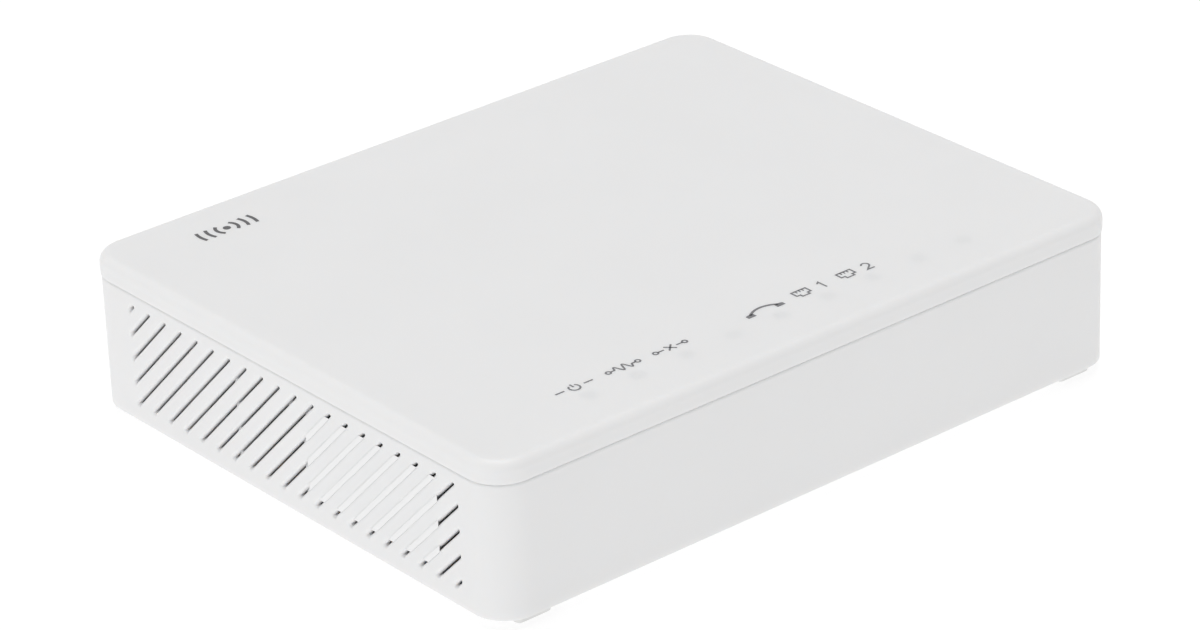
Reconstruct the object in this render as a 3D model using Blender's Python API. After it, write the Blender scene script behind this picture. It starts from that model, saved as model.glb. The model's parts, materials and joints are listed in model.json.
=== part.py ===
"""Optical network terminal: a two-part case with its board, connectors and controls.

Lengths are in millimetres here and become metres when a mesh is made.
+X runs along the front, +Y points at the connector side and +Z is up. The origin is
the middle of the footprint, on the surface that the feet stand on.
"""

import math

import bmesh
import bpy

MM = 0.001
GAP = 0.3                      # clearance between neighbouring pieces

# Case
CASE_WIDTH = 155.0             # outline of the top cover
CASE_DEPTH = 125.0
CASE_RADIUS = 7.5
SHELL_HEIGHT = 32.0            # case without feet
FOOT_HEIGHT = 1.8
PARTING_HEIGHT = 27.5          # middle of the seam, above the case's underside
OVERHANG = 0.2                 # the cover stands this far out over the base walls
WALL = 2.2
FLOOR = 2.0
ROOF = 2.0
COVER_EDGE_FILLET = 2.0
BASE_EDGE_FILLET = 0.3

UNDERSIDE = FOOT_HEIGHT
FLOOR_TOP = UNDERSIDE + FLOOR
CASE_TOP = UNDERSIDE + SHELL_HEIGHT
ROOF_UNDERSIDE = CASE_TOP - ROOF
BASE_TOP = UNDERSIDE + PARTING_HEIGHT - GAP / 2
COVER_BOTTOM = BASE_TOP + GAP

BASE_WIDTH = CASE_WIDTH - 2 * OVERHANG
BASE_DEPTH = CASE_DEPTH - 2 * OVERHANG
BASE_RADIUS = CASE_RADIUS - OVERHANG
INNER_X = BASE_WIDTH / 2 - WALL            # inner face of the side walls
INNER_FRONT = -(BASE_DEPTH / 2 - WALL)     # inner face of the front wall

# Connector side: a bay sunk into the rear wall, with the connector panel at its bottom
BAY_DEPTH = 2.1
PANEL_THICKNESS = 2.2
PANEL_FACE = BASE_DEPTH / 2 - BAY_DEPTH
PANEL_BACK = PANEL_FACE - PANEL_THICKNESS
BAY_HALF_WIDTH = 66.0
BAY_LOW = UNDERSIDE + 4.0
BAY_HIGH = UNDERSIDE + 24.6

# Vent grilles in both side walls: slots at 45 degrees, high at the front
SLOT_COUNT = 24
SLOT_PITCH = 5.14              # along Y
SLOT_WIDTH = 0.65              # across the slot, at its neck
SLOT_FIRST = 72.36             # y + z of the rearmost slot's centre line, z from the underside
GRILLE_Y = (-51.2, 48.7)
GRILLE_Z = (3.7, 24.8)         # above the underside
GRILLE_WALL = 1.3              # the wall is thinner where the slots are
GRILLE_INNER = BASE_WIDTH / 2 - GRILLE_WALL
GRILLE_MARGIN = 0.7            # of the thin field around the slots

# Cover rim, snap tongues and light windows
LIP_THICKNESS = 1.2
LIP_DROP = 2.2                 # the rim reaches this far below the seam
TONGUE_WIDTH = 8.0
TONGUE_DROP = 4.9
HOOK_REACH = 0.8
HOOK_HEIGHT = 1.0
FRONT_TONGUES = (-50.0, 0.0, 50.0)
REAR_TONGUES = (-28.0, 44.0)
WINDOW_COUNT = 9
WINDOW_FIRST_X = -46.5
WINDOW_PITCH = 11.6
WINDOW_Y = -51.7
WINDOW_RADIUS = 1.6
WINDOW_SKIN = 0.6

# Board
BOARD_UNDERSIDE = FLOOR_TOP + 4.5
BOARD_THICKNESS = 1.6
BOARD_TOP = BOARD_UNDERSIDE + BOARD_THICKNESS
SEAT = BOARD_TOP + GAP         # underside of everything that stands on the board
BOARD_HALF_WIDTH = 71.0
BOARD_FRONT = -57.5
BOARD_REAR = PANEL_BACK - 0.6

# Screws
BOARD_SCREWS = ((-62.0, -46.0), (62.0, -46.0), (-62.0, 26.0), (62.0, 26.0))
CASE_SCREWS = ((-66.0, 40.0), (66.0, 40.0))
CASE_BOSS_RADIUS = 4.3
CASE_BOSS_TOP = 14.0
COUNTERBORE_TOP = 11.7
SCREW_RADIUS = 1.45
HEAD_RADIUS = 2.8
HEAD_HEIGHT = 2.0

# Connectors and controls, by the X of their axis
OPTICAL_X = 54.0
LAN_X = (33.0, 14.0)
PHONE_X = -5.5
RESET_X = -20.5
POWER_IN_X = -34.5
BUTTON_X = -52.0
LAN_SIZE = (15.9, 21.3, 13.4)
PHONE_SIZE = (13.2, 18.0, 13.0)
OPTICAL_SIZE = (13.0, 16.0, 9.5)
POWER_IN_SIZE = (9.0, 14.4, 11.0)
SWITCH_SIZE = (8.5, 13.0, 8.5)
RESET_SIZE = (7.0, 4.0, 7.0)

BUTTON_RADIUS = 4.0
BUTTON_OUT = 2.2               # the cap stands this far out of the panel
BUTTON_EARS = 5.4              # half the width over the two ears that keep the cap in
BUTTON_CLEARANCE = 0.4
PLUNGER_SIDE = 3.0
RESET_PLUNGER_RADIUS = 1.6
PINHOLE_RADIUS = 1.0

SEGMENTS = 16                  # of a small circle
CORNER_SEGMENTS = 7            # of a case corner

COLOURS = {                    # base colour, roughness, metallic
    "case_white": ((0.86, 0.86, 0.86), 0.42, 0.0),
    "foot_rubber": ((0.70, 0.70, 0.70), 0.70, 0.0),
    "label_grey": ((0.75, 0.76, 0.77), 0.50, 0.0),
    "board_green": ((0.01, 0.07, 0.03), 0.35, 0.0),
    "steel": ((0.55, 0.55, 0.56), 0.30, 1.0),
    "tin": ((0.62, 0.62, 0.60), 0.28, 1.0),
    "aluminium": ((0.70, 0.71, 0.72), 0.35, 1.0),
    "gold": ((0.80, 0.58, 0.22), 0.25, 1.0),
    "jack_black": ((0.02, 0.02, 0.02), 0.45, 0.0),
    "optical_blue": ((0.02, 0.14, 0.48), 0.40, 0.0),
    "chip_black": ((0.025, 0.025, 0.028), 0.50, 0.0),
    "ceramic": ((0.85, 0.84, 0.80), 0.20, 0.0),
    "clear": ((0.85, 0.88, 0.90), 0.10, 0.0),
    "lamp": ((0.80, 0.80, 0.70), 0.25, 0.0),
    "pad_grey": ((0.35, 0.38, 0.42), 0.80, 0.0),
    "capacitor": ((0.03, 0.03, 0.05), 0.40, 0.0),
    "button_grey": ((0.55, 0.56, 0.57), 0.45, 0.0),
}


# ---------------------------------------------------------------- outlines

def circle(radius, centre=(0.0, 0.0), segments=SEGMENTS):
    turn = 2 * math.pi / segments
    return [
        (centre[0] + radius * math.cos(i * turn), centre[1] + radius * math.sin(i * turn))
        for i in range(segments)
    ]


def rectangle(low_u, high_u, low_v, high_v):
    return [(low_u, low_v), (high_u, low_v), (high_u, high_v), (low_u, high_v)]


def rounded(low_u, high_u, low_v, high_v, radius, segments=3):
    """A rectangle with round corners, counter-clockwise."""
    corners = (
        (high_u - radius, high_v - radius), (low_u + radius, high_v - radius),
        (low_u + radius, low_v + radius), (high_u - radius, low_v + radius),
    )
    points = []
    for quarter, (u, v) in enumerate(corners):
        for i in range(segments + 1):
            angle = math.pi / 2 * (quarter + i / segments)
            points.append((u + radius * math.cos(angle), v + radius * math.sin(angle)))
    return points


def clip(points, a, b, limit):
    """Keep the part of a convex outline where a * u + b * v <= limit."""
    kept = []
    for (u0, v0), (u1, v1) in zip(points, points[1:] + points[:1]):
        d0 = a * u0 + b * v0 - limit
        d1 = a * u1 + b * v1 - limit
        if d0 <= 0:
            kept.append((u0, v0))
        if d0 * d1 < 0:
            t = d0 / (d0 - d1)
            kept.append((u0 + t * (u1 - u0), v0 + t * (v1 - v0)))
    return kept


def vent_slot(index, clearance=0.0):
    """One slot of a grille, in y and z: a strip at 45 degrees cut square by the field."""
    middle = SLOT_FIRST - index * SLOT_PITCH
    half = (SLOT_WIDTH / 2 - clearance) * math.sqrt(2)
    slot = rectangle(*GRILLE_Y, *GRILLE_Z)
    slot = clip(slot, 1, 1, middle + half)
    slot = clip(slot, -1, -1, half - middle)
    return [(y, z + UNDERSIDE) for y, z in slot]


# ---------------------------------------------------------------- solids

PLACE = {
    "X": lambda u, v, w: (w, u, v),
    "Y": lambda u, v, w: (u, w, v),
    "Z": lambda u, v, w: (u, v, w),
}


def add_loft(bm, rings, axis="Z", tube=False):
    """Skin (outline, level) rings. A tube runs back to its first ring; others get ends."""
    levels = [
        [bm.verts.new(PLACE[axis](u, v, level)) for u, v in outline]
        for outline, level in rings
    ]
    pairs = list(zip(levels, levels[1:]))
    if tube:
        pairs.append((levels[-1], levels[0]))
    else:
        bm.faces.new(levels[0])
        bm.faces.new(levels[-1])
    for lower, upper in pairs:
        for i in range(len(lower)):
            bm.faces.new((lower[i - 1], lower[i], upper[i], upper[i - 1]))


def add_prism(bm, outline, low, high, axis="Z"):
    add_loft(bm, [(outline, low), (outline, high)], axis)


def add_box(bm, x, y, z):
    add_prism(bm, rectangle(*x, *y), *z)


def add_turned(bm, profile, centre, axis="Z", segments=SEGMENTS):
    """Turn (radius, level) steps about an axis through centre."""
    add_loft(bm, [(circle(r, centre, segments), level) for r, level in profile], axis)


def add_rounded_block(bm, x, y, z, radius, bottom=0.0, top=0.0, segments=3, steps=3):
    """A round-cornered block with quarter-round lower and upper edges."""
    def ring(inset, level):
        outline = rounded(
            x[0] + inset, x[1] - inset, y[0] + inset, y[1] - inset, radius - inset, segments
        )
        return outline, level

    rings = []
    for i in range(steps if bottom else 0):
        angle = math.pi / 2 * i / steps
        rings.append(ring(bottom * (1 - math.sin(angle)), z[0] + bottom * (1 - math.cos(angle))))
    rings.append(ring(0.0, z[0] + bottom))
    rings.append(ring(0.0, z[1] - top))
    for i in range(1, steps + 1 if top else 0):
        angle = math.pi / 2 * i / steps
        rings.append(ring(top * (1 - math.cos(angle)), z[1] - top * (1 - math.sin(angle))))
    add_loft(bm, rings)


# ---------------------------------------------------------------- objects

def material(name):
    found = bpy.data.materials.get(name)
    if found:
        return found
    colour, roughness, metallic = COLOURS[name]
    made = bpy.data.materials.new(name)
    made.use_nodes = True
    shader = made.node_tree.nodes["Principled BSDF"]
    shader.inputs["Base Color"].default_value = (*colour, 1.0)
    shader.inputs["Roughness"].default_value = roughness
    shader.inputs["Metallic"].default_value = metallic
    made.diffuse_color = (*colour, 1.0)
    return made


def make(name, bm, slot=None, origin=(0.0, 0.0, 0.0)):
    """Turn a bmesh in millimetres into an object in metres with its own origin."""
    bmesh.ops.recalc_face_normals(bm, faces=bm.faces)
    bmesh.ops.translate(bm, vec=[-value for value in origin], verts=bm.verts)
    bmesh.ops.scale(bm, vec=(MM, MM, MM), verts=bm.verts)
    mesh = bpy.data.meshes.new(name)
    bm.to_mesh(mesh)
    bm.free()
    mesh.shade_smooth()
    mesh.set_sharp_from_angle(angle=math.radians(32))
    obj = bpy.data.objects.new(name, mesh)
    obj.location = [value * MM for value in origin]
    bpy.context.scene.collection.objects.link(obj)
    if slot:
        mesh.materials.append(material(slot))
    return obj


def combine(target, operation, name, bm):
    """Put a hidden tool through a boolean with the target, and return the tool."""
    tool = make(f"{target.name}_{name}", bm)
    tool.hide_render = True
    tool.display_type = "WIRE"
    modifier = target.modifiers.new(name, "BOOLEAN")
    modifier.operation = operation
    modifier.object = tool
    modifier.solver = "EXACT"
    return tool


def cut(target, name, bm):
    combine(target, "DIFFERENCE", name, bm)


def weld(target, name, bm):
    return combine(target, "UNION", name, bm)


# ---------------------------------------------------------------- case

def connector_span(size, x):
    """The box of a connector that stands on the board with its mouth in the panel."""
    width, depth, height = size
    return (
        (x - width / 2, x + width / 2),
        (PANEL_FACE - depth, PANEL_FACE),
        (SEAT, SEAT + height),
    )


def panel_windows():
    """Rectangular panel openings, one for each connector, with clearance all round."""
    fitted = [(LAN_SIZE, x) for x in LAN_X]
    fitted += [(PHONE_SIZE, PHONE_X), (OPTICAL_SIZE, OPTICAL_X), (POWER_IN_SIZE, POWER_IN_X)]
    for size, x in fitted:
        (x0, x1), _, (z0, z1) = connector_span(size, x)
        yield rectangle(x0 - GAP, x1 + GAP, z0 - GAP, z1 + GAP)


def button_axis_z():
    return SEAT + SWITCH_SIZE[2] / 2


def reset_axis_z():
    return SEAT + RESET_SIZE[2] / 2


def foot_span(side_x, side_y):
    """X and Y range of a foot, from the corner that it stands in."""
    x = sorted((side_x * 64.0, side_x * 72.0))
    y = sorted((side_y * 49.0, side_y * 60.6))
    return x, y


FOOT_CORNER = 1.0
FOOT_SINK = 0.5                # the foot's root in its recess
CORNERS = {
    "front_left": (-1, -1), "front_right": (1, -1), "rear_left": (-1, 1), "rear_right": (1, 1),
}
LABEL_X = (-32.0, 32.0)
LABEL_Y = (6.0, 44.0)
LABEL_THICKNESS = 0.2
LABEL_RECESS = LABEL_THICKNESS + GAP


def keyhole(x):
    """Wall-mount hole for a small screw: a round entry with a narrow slot behind it."""
    entry, neck, reach, y = 2.8, 1.55, 6.5, 20.0
    start = math.asin(neck / entry)
    steps = 12
    points = []
    for i in range(steps + 1):
        angle = math.pi / 2 + start + (2 * math.pi - 2 * start) * i / steps
        points.append((x + entry * math.cos(angle), y + entry * math.sin(angle)))
    for i in range(7):
        angle = math.pi * i / 6
        points.append((x + neck * math.cos(angle), y + reach + neck * math.sin(angle)))
    return points


# Plate behind the left grille. Its bars fill the slots and stop short of the outer face.
BAFFLE_Y = (-44.1, -5.8)
BAFFLE_Z = (UNDERSIDE + 4.8, UNDERSIDE + 22.8)
BAFFLE_X = (-GRILLE_INNER + 0.3, -GRILLE_INNER + 1.5)
BAFFLE_TAB_REAR = 2.5
BAFFLE_TAB_Z = (UNDERSIDE + 20.8, UNDERSIDE + 22.3)
BAR_SLOTS = range(12, 22)      # the slots that it closes, counted from the rear
BAR_RECESS = 0.6               # outer face of the bars, below the outer face of the wall
BAR_CLEARANCE = 0.03
BAR_SHIFT_Y = -1.2             # the bars' outer ends lie further forward and higher up
BAR_SHIFT_Z = 0.8


def base_shell():
    bm = bmesh.new()
    half_width, half_depth = BASE_WIDTH / 2, BASE_DEPTH / 2
    add_rounded_block(
        bm, (-half_width, half_width), (-half_depth, half_depth), (UNDERSIDE, BASE_TOP),
        BASE_RADIUS, bottom=BASE_EDGE_FILLET, segments=CORNER_SEGMENTS, steps=2,
    )
    shell = make("base_shell", bm, "case_white")

    bm = bmesh.new()
    inside = rounded(
        -INNER_X, INNER_X, INNER_FRONT, PANEL_BACK, BASE_RADIUS - WALL, CORNER_SEGMENTS
    )
    add_prism(bm, inside, FLOOR_TOP, BASE_TOP + 5)
    cut(shell, "cavity", bm)

    bm = bmesh.new()
    field_y = (GRILLE_Y[0] - GRILLE_MARGIN, GRILLE_Y[1] + GRILLE_MARGIN)
    field_z = (
        UNDERSIDE + GRILLE_Z[0] - GRILLE_MARGIN, UNDERSIDE + GRILLE_Z[1] + GRILLE_MARGIN,
    )
    add_box(bm, (-GRILLE_INNER, -INNER_X + 1), field_y, field_z)
    add_box(bm, (INNER_X - 1, GRILLE_INNER), field_y, field_z)
    cut(shell, "thin_fields", bm)

    bm = bmesh.new()
    for x, y in CASE_SCREWS:
        add_prism(bm, circle(CASE_BOSS_RADIUS, (x, y), 20), FLOOR_TOP - 0.5, CASE_BOSS_TOP)
    for x, y in BOARD_SCREWS:
        add_prism(bm, circle(3.2, (x, y)), FLOOR_TOP - 0.5, BOARD_UNDERSIDE - GAP)
    for side in (-1, 1):
        wall_rib = sorted((side * (GRILLE_INNER + 0.5), side * (INNER_X - 1.4)))
        add_box(bm, wall_rib, (15.4, 16.4), (FLOOR_TOP - 0.5, UNDERSIDE + 24.6))
    weld(shell, "bosses_and_ribs", bm)

    bm = bmesh.new()
    stop_x, stop = (-GRILLE_INNER - 0.5, BAFFLE_X[1] + 0.8), BAFFLE_Y[1] + GAP
    add_box(bm, stop_x, (stop, stop + 1.0), (FLOOR_TOP - 0.5, UNDERSIDE + 19.6))
    weld(shell, "baffle_stop", bm)

    bm = bmesh.new()
    for index in range(SLOT_COUNT):
        slot = vent_slot(index)
        add_prism(bm, slot, -BASE_WIDTH / 2 - 2, -GRILLE_INNER + 0.1, "X")
        add_prism(bm, slot, GRILLE_INNER - 0.1, BASE_WIDTH / 2 + 2, "X")
    cut(shell, "vent_slots", bm)

    bm = bmesh.new()
    add_prism(
        bm, rounded(-BAY_HALF_WIDTH, BAY_HALF_WIDTH, BAY_LOW, BAY_HIGH, 1.6),
        PANEL_FACE, PANEL_FACE + 10, "Y",
    )
    cut(shell, "connector_bay", bm)

    bm = bmesh.new()
    panel = (PANEL_BACK - 1, PANEL_FACE + 1)
    for window in panel_windows():
        add_prism(bm, window, *panel, "Y")
    button_hole = BUTTON_RADIUS + BUTTON_CLEARANCE
    add_prism(bm, circle(button_hole, (BUTTON_X, button_axis_z()), 28), *panel, "Y")
    add_prism(bm, circle(PINHOLE_RADIUS, (RESET_X, reset_axis_z())), *panel, "Y")
    cut(shell, "panel_openings", bm)

    bm = bmesh.new()
    pocket_z = (BASE_TOP - TONGUE_DROP + 0.3, BASE_TOP - TONGUE_DROP + 0.7 + HOOK_HEIGHT + 0.3)
    for x in FRONT_TONGUES:
        span = (x - TONGUE_WIDTH / 2 - 0.5, x + TONGUE_WIDTH / 2 + 0.5)
        add_box(bm, span, (INNER_FRONT - 0.9, INNER_FRONT + 1), pocket_z)
    for x in REAR_TONGUES:
        span = (x - TONGUE_WIDTH / 2 - 0.5, x + TONGUE_WIDTH / 2 + 0.5)
        add_box(bm, span, (PANEL_BACK - 1, PANEL_BACK + 0.9), pocket_z)
    cut(shell, "snap_pockets", bm)

    bm = bmesh.new()
    for x, y in CASE_SCREWS:
        bore = [(3.2, 0), (3.2, COUNTERBORE_TOP), (1.75, COUNTERBORE_TOP), (1.75, 20)]
        add_turned(bm, bore, (x, y))
    for x, y in BOARD_SCREWS:
        add_prism(bm, circle(1.55, (x, y)), FLOOR_TOP + 0.4, BOARD_UNDERSIDE + 1)
    for x in (-50.0, 50.0):
        add_prism(bm, keyhole(x), 0, FLOOR_TOP + 1)
    cut(shell, "screw_holes", bm)

    bm = bmesh.new()
    vent_pitch, vent_width, vent_length, vents = 9.0, 1.8, 16.0, 9
    for row_y in (-34.0, -12.0):
        for index in range(vents):
            x = (index - (vents - 1) / 2) * vent_pitch
            span = (x - vent_width / 2, x + vent_width / 2)
            add_box(bm, span, (row_y - vent_length / 2, row_y + vent_length / 2), (0, FLOOR_TOP + 1))
    for side_x, side_y in CORNERS.values():
        x, y = foot_span(side_x, side_y)
        recess = rounded(
            x[0] - GAP, x[1] + GAP, y[0] - GAP, y[1] + GAP, FOOT_CORNER + GAP
        )
        add_prism(bm, recess, 0, UNDERSIDE + FOOT_SINK + GAP)
    label = rounded(
        LABEL_X[0] - GAP, LABEL_X[1] + GAP, LABEL_Y[0] - GAP, LABEL_Y[1] + GAP, 1.5
    )
    add_prism(bm, label, 0, UNDERSIDE + LABEL_RECESS)
    cut(shell, "underside", bm)


def window_x(index):
    return WINDOW_FIRST_X + index * WINDOW_PITCH


STAKE_WINDOWS = (1.5, 6.5)     # the heat stakes stand midway between two windows
GUIDE_BAR_Z = (24.5, 26.1)


def top_cover():
    bm = bmesh.new()
    half_width, half_depth = CASE_WIDTH / 2, CASE_DEPTH / 2
    add_rounded_block(
        bm, (-half_width, half_width), (-half_depth, half_depth), (COVER_BOTTOM, CASE_TOP),
        CASE_RADIUS, top=COVER_EDGE_FILLET, segments=CORNER_SEGMENTS, steps=4,
    )
    cover = make("top_cover", bm, "case_white")

    bm = bmesh.new()
    skirt = 1.8
    hollow = rounded(
        skirt - half_width, half_width - skirt, skirt - half_depth, half_depth - skirt,
        CASE_RADIUS - skirt, CORNER_SEGMENTS,
    )
    add_prism(bm, hollow, COVER_BOTTOM - 5, ROOF_UNDERSIDE)
    cut(cover, "hollow", bm)

    bm = bmesh.new()
    rim_x, rim_front, rim_rear = INNER_X - GAP, INNER_FRONT + GAP, PANEL_BACK - GAP
    radius = BASE_RADIUS - WALL - GAP
    outer = rounded(-rim_x, rim_x, rim_front, rim_rear, radius, CORNER_SEGMENTS)
    t = LIP_THICKNESS
    inner = rounded(
        t - rim_x, rim_x - t, rim_front + t, rim_rear - t, radius - t, CORNER_SEGMENTS
    )
    low, high = BASE_TOP - LIP_DROP, ROOF_UNDERSIDE + 0.5
    add_loft(bm, [(outer, low), (outer, high), (inner, high), (inner, low)], tube=True)
    weld(cover, "rim", bm)

    bm = bmesh.new()
    tongue_low = BASE_TOP - TONGUE_DROP
    hook_low = tongue_low + 0.7
    for wall, outward, places in (
        (rim_front, -1, FRONT_TONGUES), (rim_rear, 1, REAR_TONGUES),
    ):
        inward = wall - outward * (t - 0.1)
        face = wall - outward * 0.1
        tip = wall + outward * HOOK_REACH
        profile = [
            (inward, ROOF_UNDERSIDE - 1), (inward, tongue_low), (face, tongue_low),
            (tip, hook_low + HOOK_HEIGHT * 0.7), (tip, hook_low + HOOK_HEIGHT),
            (face, hook_low + HOOK_HEIGHT), (face, ROOF_UNDERSIDE - 1),
        ]
        for x in places:
            add_prism(bm, profile, x - TONGUE_WIDTH / 2, x + TONGUE_WIDTH / 2, "X")
    for x, y in CASE_SCREWS:
        add_prism(bm, circle(3.5, (x, y), 20), CASE_BOSS_TOP + GAP, ROOF_UNDERSIDE + 0.5)
    for y in (-30.0, 0.0, 30.0):
        add_box(bm, (-60.0, 60.0), (y - 0.6, y + 0.6), (ROOF_UNDERSIDE - 2, ROOF_UNDERSIDE + 0.5))
    for place in STAKE_WINDOWS:
        stake = circle(0.9, (window_x(place), WINDOW_Y), 12)
        add_prism(bm, stake, GUIDE_BAR_Z[0] - 0.4, ROOF_UNDERSIDE + 0.5)
    weld(cover, "tongues_posts_and_ribs", bm)

    bm = bmesh.new()
    for index in range(WINDOW_COUNT):
        add_prism(
            bm, circle(WINDOW_RADIUS, (window_x(index), WINDOW_Y), 12),
            ROOF_UNDERSIDE - 1, CASE_TOP - WINDOW_SKIN,
        )
    for x, y in CASE_SCREWS:
        add_prism(bm, circle(1.75, (x, y)), CASE_BOSS_TOP - 1, CASE_BOSS_TOP + 10.5)
    cut(cover, "windows_and_pilots", bm)


def vent_baffle():
    """White plate that closes the front two thirds of the left grille from inside."""
    front, rear = BAFFLE_Y
    low, high = BAFFLE_Z
    tab_low, tab_high = BAFFLE_TAB_Z
    outline = [
        (front, low), (rear, low), (rear, tab_low), (BAFFLE_TAB_REAR, tab_low),
        (BAFFLE_TAB_REAR, tab_high), (rear, tab_high), (rear, high), (front, high),
    ]
    bm = bmesh.new()
    add_prism(bm, outline, *BAFFLE_X, "X")
    plate = make("vent_baffle", bm, "case_white")

    bm = bmesh.new()
    root, face = BAFFLE_X[0] + 0.4, BAR_RECESS - BASE_WIDTH / 2
    for index in BAR_SLOTS:
        add_prism(bm, vent_slot(index, BAR_CLEARANCE), face, root + 1.0, "X")
    bars = weld(plate, "bars", bm)
    bm = bmesh.new()
    inner = rectangle(*BAFFLE_Y, *BAFFLE_Z)
    outer = [(y + BAR_SHIFT_Y, z + BAR_SHIFT_Z) for y, z in inner]
    add_loft(bm, [(outer, face - 0.001), (inner, root)], "X")
    combine(bars, "INTERSECT", "extent", bm)


def feet():
    for corner, sides in CORNERS.items():
        x, y = foot_span(*sides)
        bm = bmesh.new()
        add_rounded_block(bm, x, y, (0, UNDERSIDE + FOOT_SINK), FOOT_CORNER, bottom=0.4, steps=2)
        make(f"foot_{corner}", bm, "foot_rubber")


def rating_label():
    bm = bmesh.new()
    add_prism(bm, rounded(*LABEL_X, *LABEL_Y, 1.2), UNDERSIDE, UNDERSIDE + LABEL_THICKNESS)
    make("rating_label", bm, "label_grey")


def cross_recess(bm, x, y, low, high):
    """A plus-shaped driver recess."""
    arm, half = 1.5, 0.4
    plus = [
        (arm, -half), (arm, half), (half, half), (half, arm), (-half, arm), (-half, half),
        (-arm, half), (-arm, -half), (-half, -half), (-half, -arm), (half, -arm), (half, -half),
    ]
    add_prism(bm, [(x + u, y + v) for u, v in plus], low, high)


def screw(name, x, y, bearing, tip, head_side):
    """A pan-head screw. head_side is the side of the bearing face that the head is on."""
    crown = bearing + head_side * HEAD_HEIGHT
    bm = bmesh.new()
    profile = [
        (HEAD_RADIUS * 0.75, crown), (HEAD_RADIUS, crown - head_side * 0.8),
        (HEAD_RADIUS, bearing), (SCREW_RADIUS, bearing),
        (SCREW_RADIUS, tip + head_side * 0.8), (SCREW_RADIUS * 0.55, tip),
    ]
    add_turned(bm, profile, (x, y), segments=14)
    body = make(name, bm, "steel")
    bm = bmesh.new()
    cross_recess(bm, x, y, *sorted((crown - head_side * 1.2, crown + head_side)))
    cut(body, "recess", bm)


def screws():
    for side, (x, y) in zip(("left", "right"), CASE_SCREWS):
        screw(f"case_screw_{side}", x, y, COUNTERBORE_TOP - GAP, COUNTERBORE_TOP + 11, -1)
    for number, (x, y) in enumerate(BOARD_SCREWS, 1):
        screw(f"board_screw_{number}", x, y, SEAT, FLOOR_TOP + 0.9, 1)


# ---------------------------------------------------------------- board and chips

def main_board():
    bm = bmesh.new()
    outline = rounded(-BOARD_HALF_WIDTH, BOARD_HALF_WIDTH, BOARD_FRONT, BOARD_REAR, 3.0)
    add_prism(bm, outline, BOARD_UNDERSIDE, BOARD_TOP)
    board = make("main_board", bm, "board_green")
    bm = bmesh.new()
    through = (BOARD_UNDERSIDE - 1, BOARD_TOP + 1)
    for spot in CASE_SCREWS:
        # open to the board's edge, so the boss has room and no sliver is left
        side = math.copysign(1, spot[0])
        reach = sorted((spot[0] - side * (CASE_BOSS_RADIUS + 0.5), side * (BOARD_HALF_WIDTH + 2)))
        add_prism(
            bm, rounded(*reach, spot[1] - 4.8, spot[1] + 4.8, 1.5), *through
        )
    for spot in BOARD_SCREWS:
        add_prism(bm, circle(SCREW_RADIUS + GAP, spot), *through)
    cut(board, "screw_holes", bm)


def chip(name, centre, size, slot="chip_black", leads=0, lead_width=0.4):
    """A chip on the board. leads is the number of gull-wing leads along each X side."""
    (x, y), (width, depth, height) = centre, size
    bm = bmesh.new()
    add_rounded_block(
        bm, (x - width / 2, x + width / 2), (y - depth / 2, y + depth / 2),
        (SEAT, SEAT + height), 0.3, top=0.2, segments=1, steps=1,
    )
    body = make(name, bm, slot)
    if leads:
        bm = bmesh.new()
        foot, knee, thick = 1.6, 0.7, 0.25
        shoulder = SEAT + height * 0.5
        for side in (-1, 1):
            edge = side * width / 2
            profile = [
                (edge - side * 0.4, shoulder), (edge + side * knee, shoulder),
                (edge + side * knee, SEAT + thick), (edge + side * foot, SEAT + thick),
                (edge + side * foot, SEAT), (edge + side * (knee - thick), SEAT),
                (edge + side * (knee - thick), shoulder - thick),
                (edge - side * 0.4, shoulder - thick),
            ]
            pitch = depth / leads
            for i in range(leads):
                at = y + (i - (leads - 1) / 2) * pitch
                shifted = [(x + u, v) for u, v in profile]
                add_prism(bm, shifted, at - lead_width / 2, at + lead_width / 2, "Y")
        weld(body, "leads", bm)


HOT_SPOT = (6.0, -6.0)         # the processor and its heat sink
PROCESSOR_HEIGHT = 1.5
PAD_HEIGHT = 0.8
SINK_SIDE = 24.0


def processor_and_sink():
    x, y = HOT_SPOT
    chip("processor", HOT_SPOT, (17.0, 17.0, PROCESSOR_HEIGHT))
    pad_low = SEAT + PROCESSOR_HEIGHT + GAP
    bm = bmesh.new()
    add_box(bm, (x - 8, x + 8), (y - 8, y + 8), (pad_low, pad_low + PAD_HEIGHT))
    make("thermal_pad", bm, "pad_grey")

    low = pad_low + PAD_HEIGHT + GAP
    plate, top, fins, fin = low + 2.0, low + 9.0, 7, 1.2
    half = SINK_SIDE / 2
    pitch = (SINK_SIDE - fin) / (fins - 1)
    comb = []
    for i in reversed(range(fins)):
        left = x - half + i * pitch
        comb += [(left + fin, plate), (left + fin, top), (left, top), (left, plate)]
    outline = [(x - half, low), (x + half, low)] + comb[1:-1]
    bm = bmesh.new()
    add_prism(bm, outline, y - half, y + half, "Y")
    make("heat_sink", bm, "aluminium")


def shield_and_driver():
    """Tin can over the optical driver chip: five thin walls, open to the board."""
    x, y, width, depth, height, sheet = 53.0, 11.5, 22.0, 19.0, 4.0, 0.4
    bm = bmesh.new()
    add_rounded_block(
        bm, (x - width / 2, x + width / 2), (y - depth / 2, y + depth / 2),
        (SEAT, SEAT + height), 0.8, top=0.4, segments=2, steps=2,
    )
    can = make("shield_can", bm, "tin")
    bm = bmesh.new()
    add_box(
        bm, (x - width / 2 + sheet, x + width / 2 - sheet),
        (y - depth / 2 + sheet, y + depth / 2 - sheet), (SEAT - 1, SEAT + height - sheet),
    )
    cut(can, "inside", bm)
    chip("optical_driver", (x, y), (5.0, 5.0, 1.0))


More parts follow.
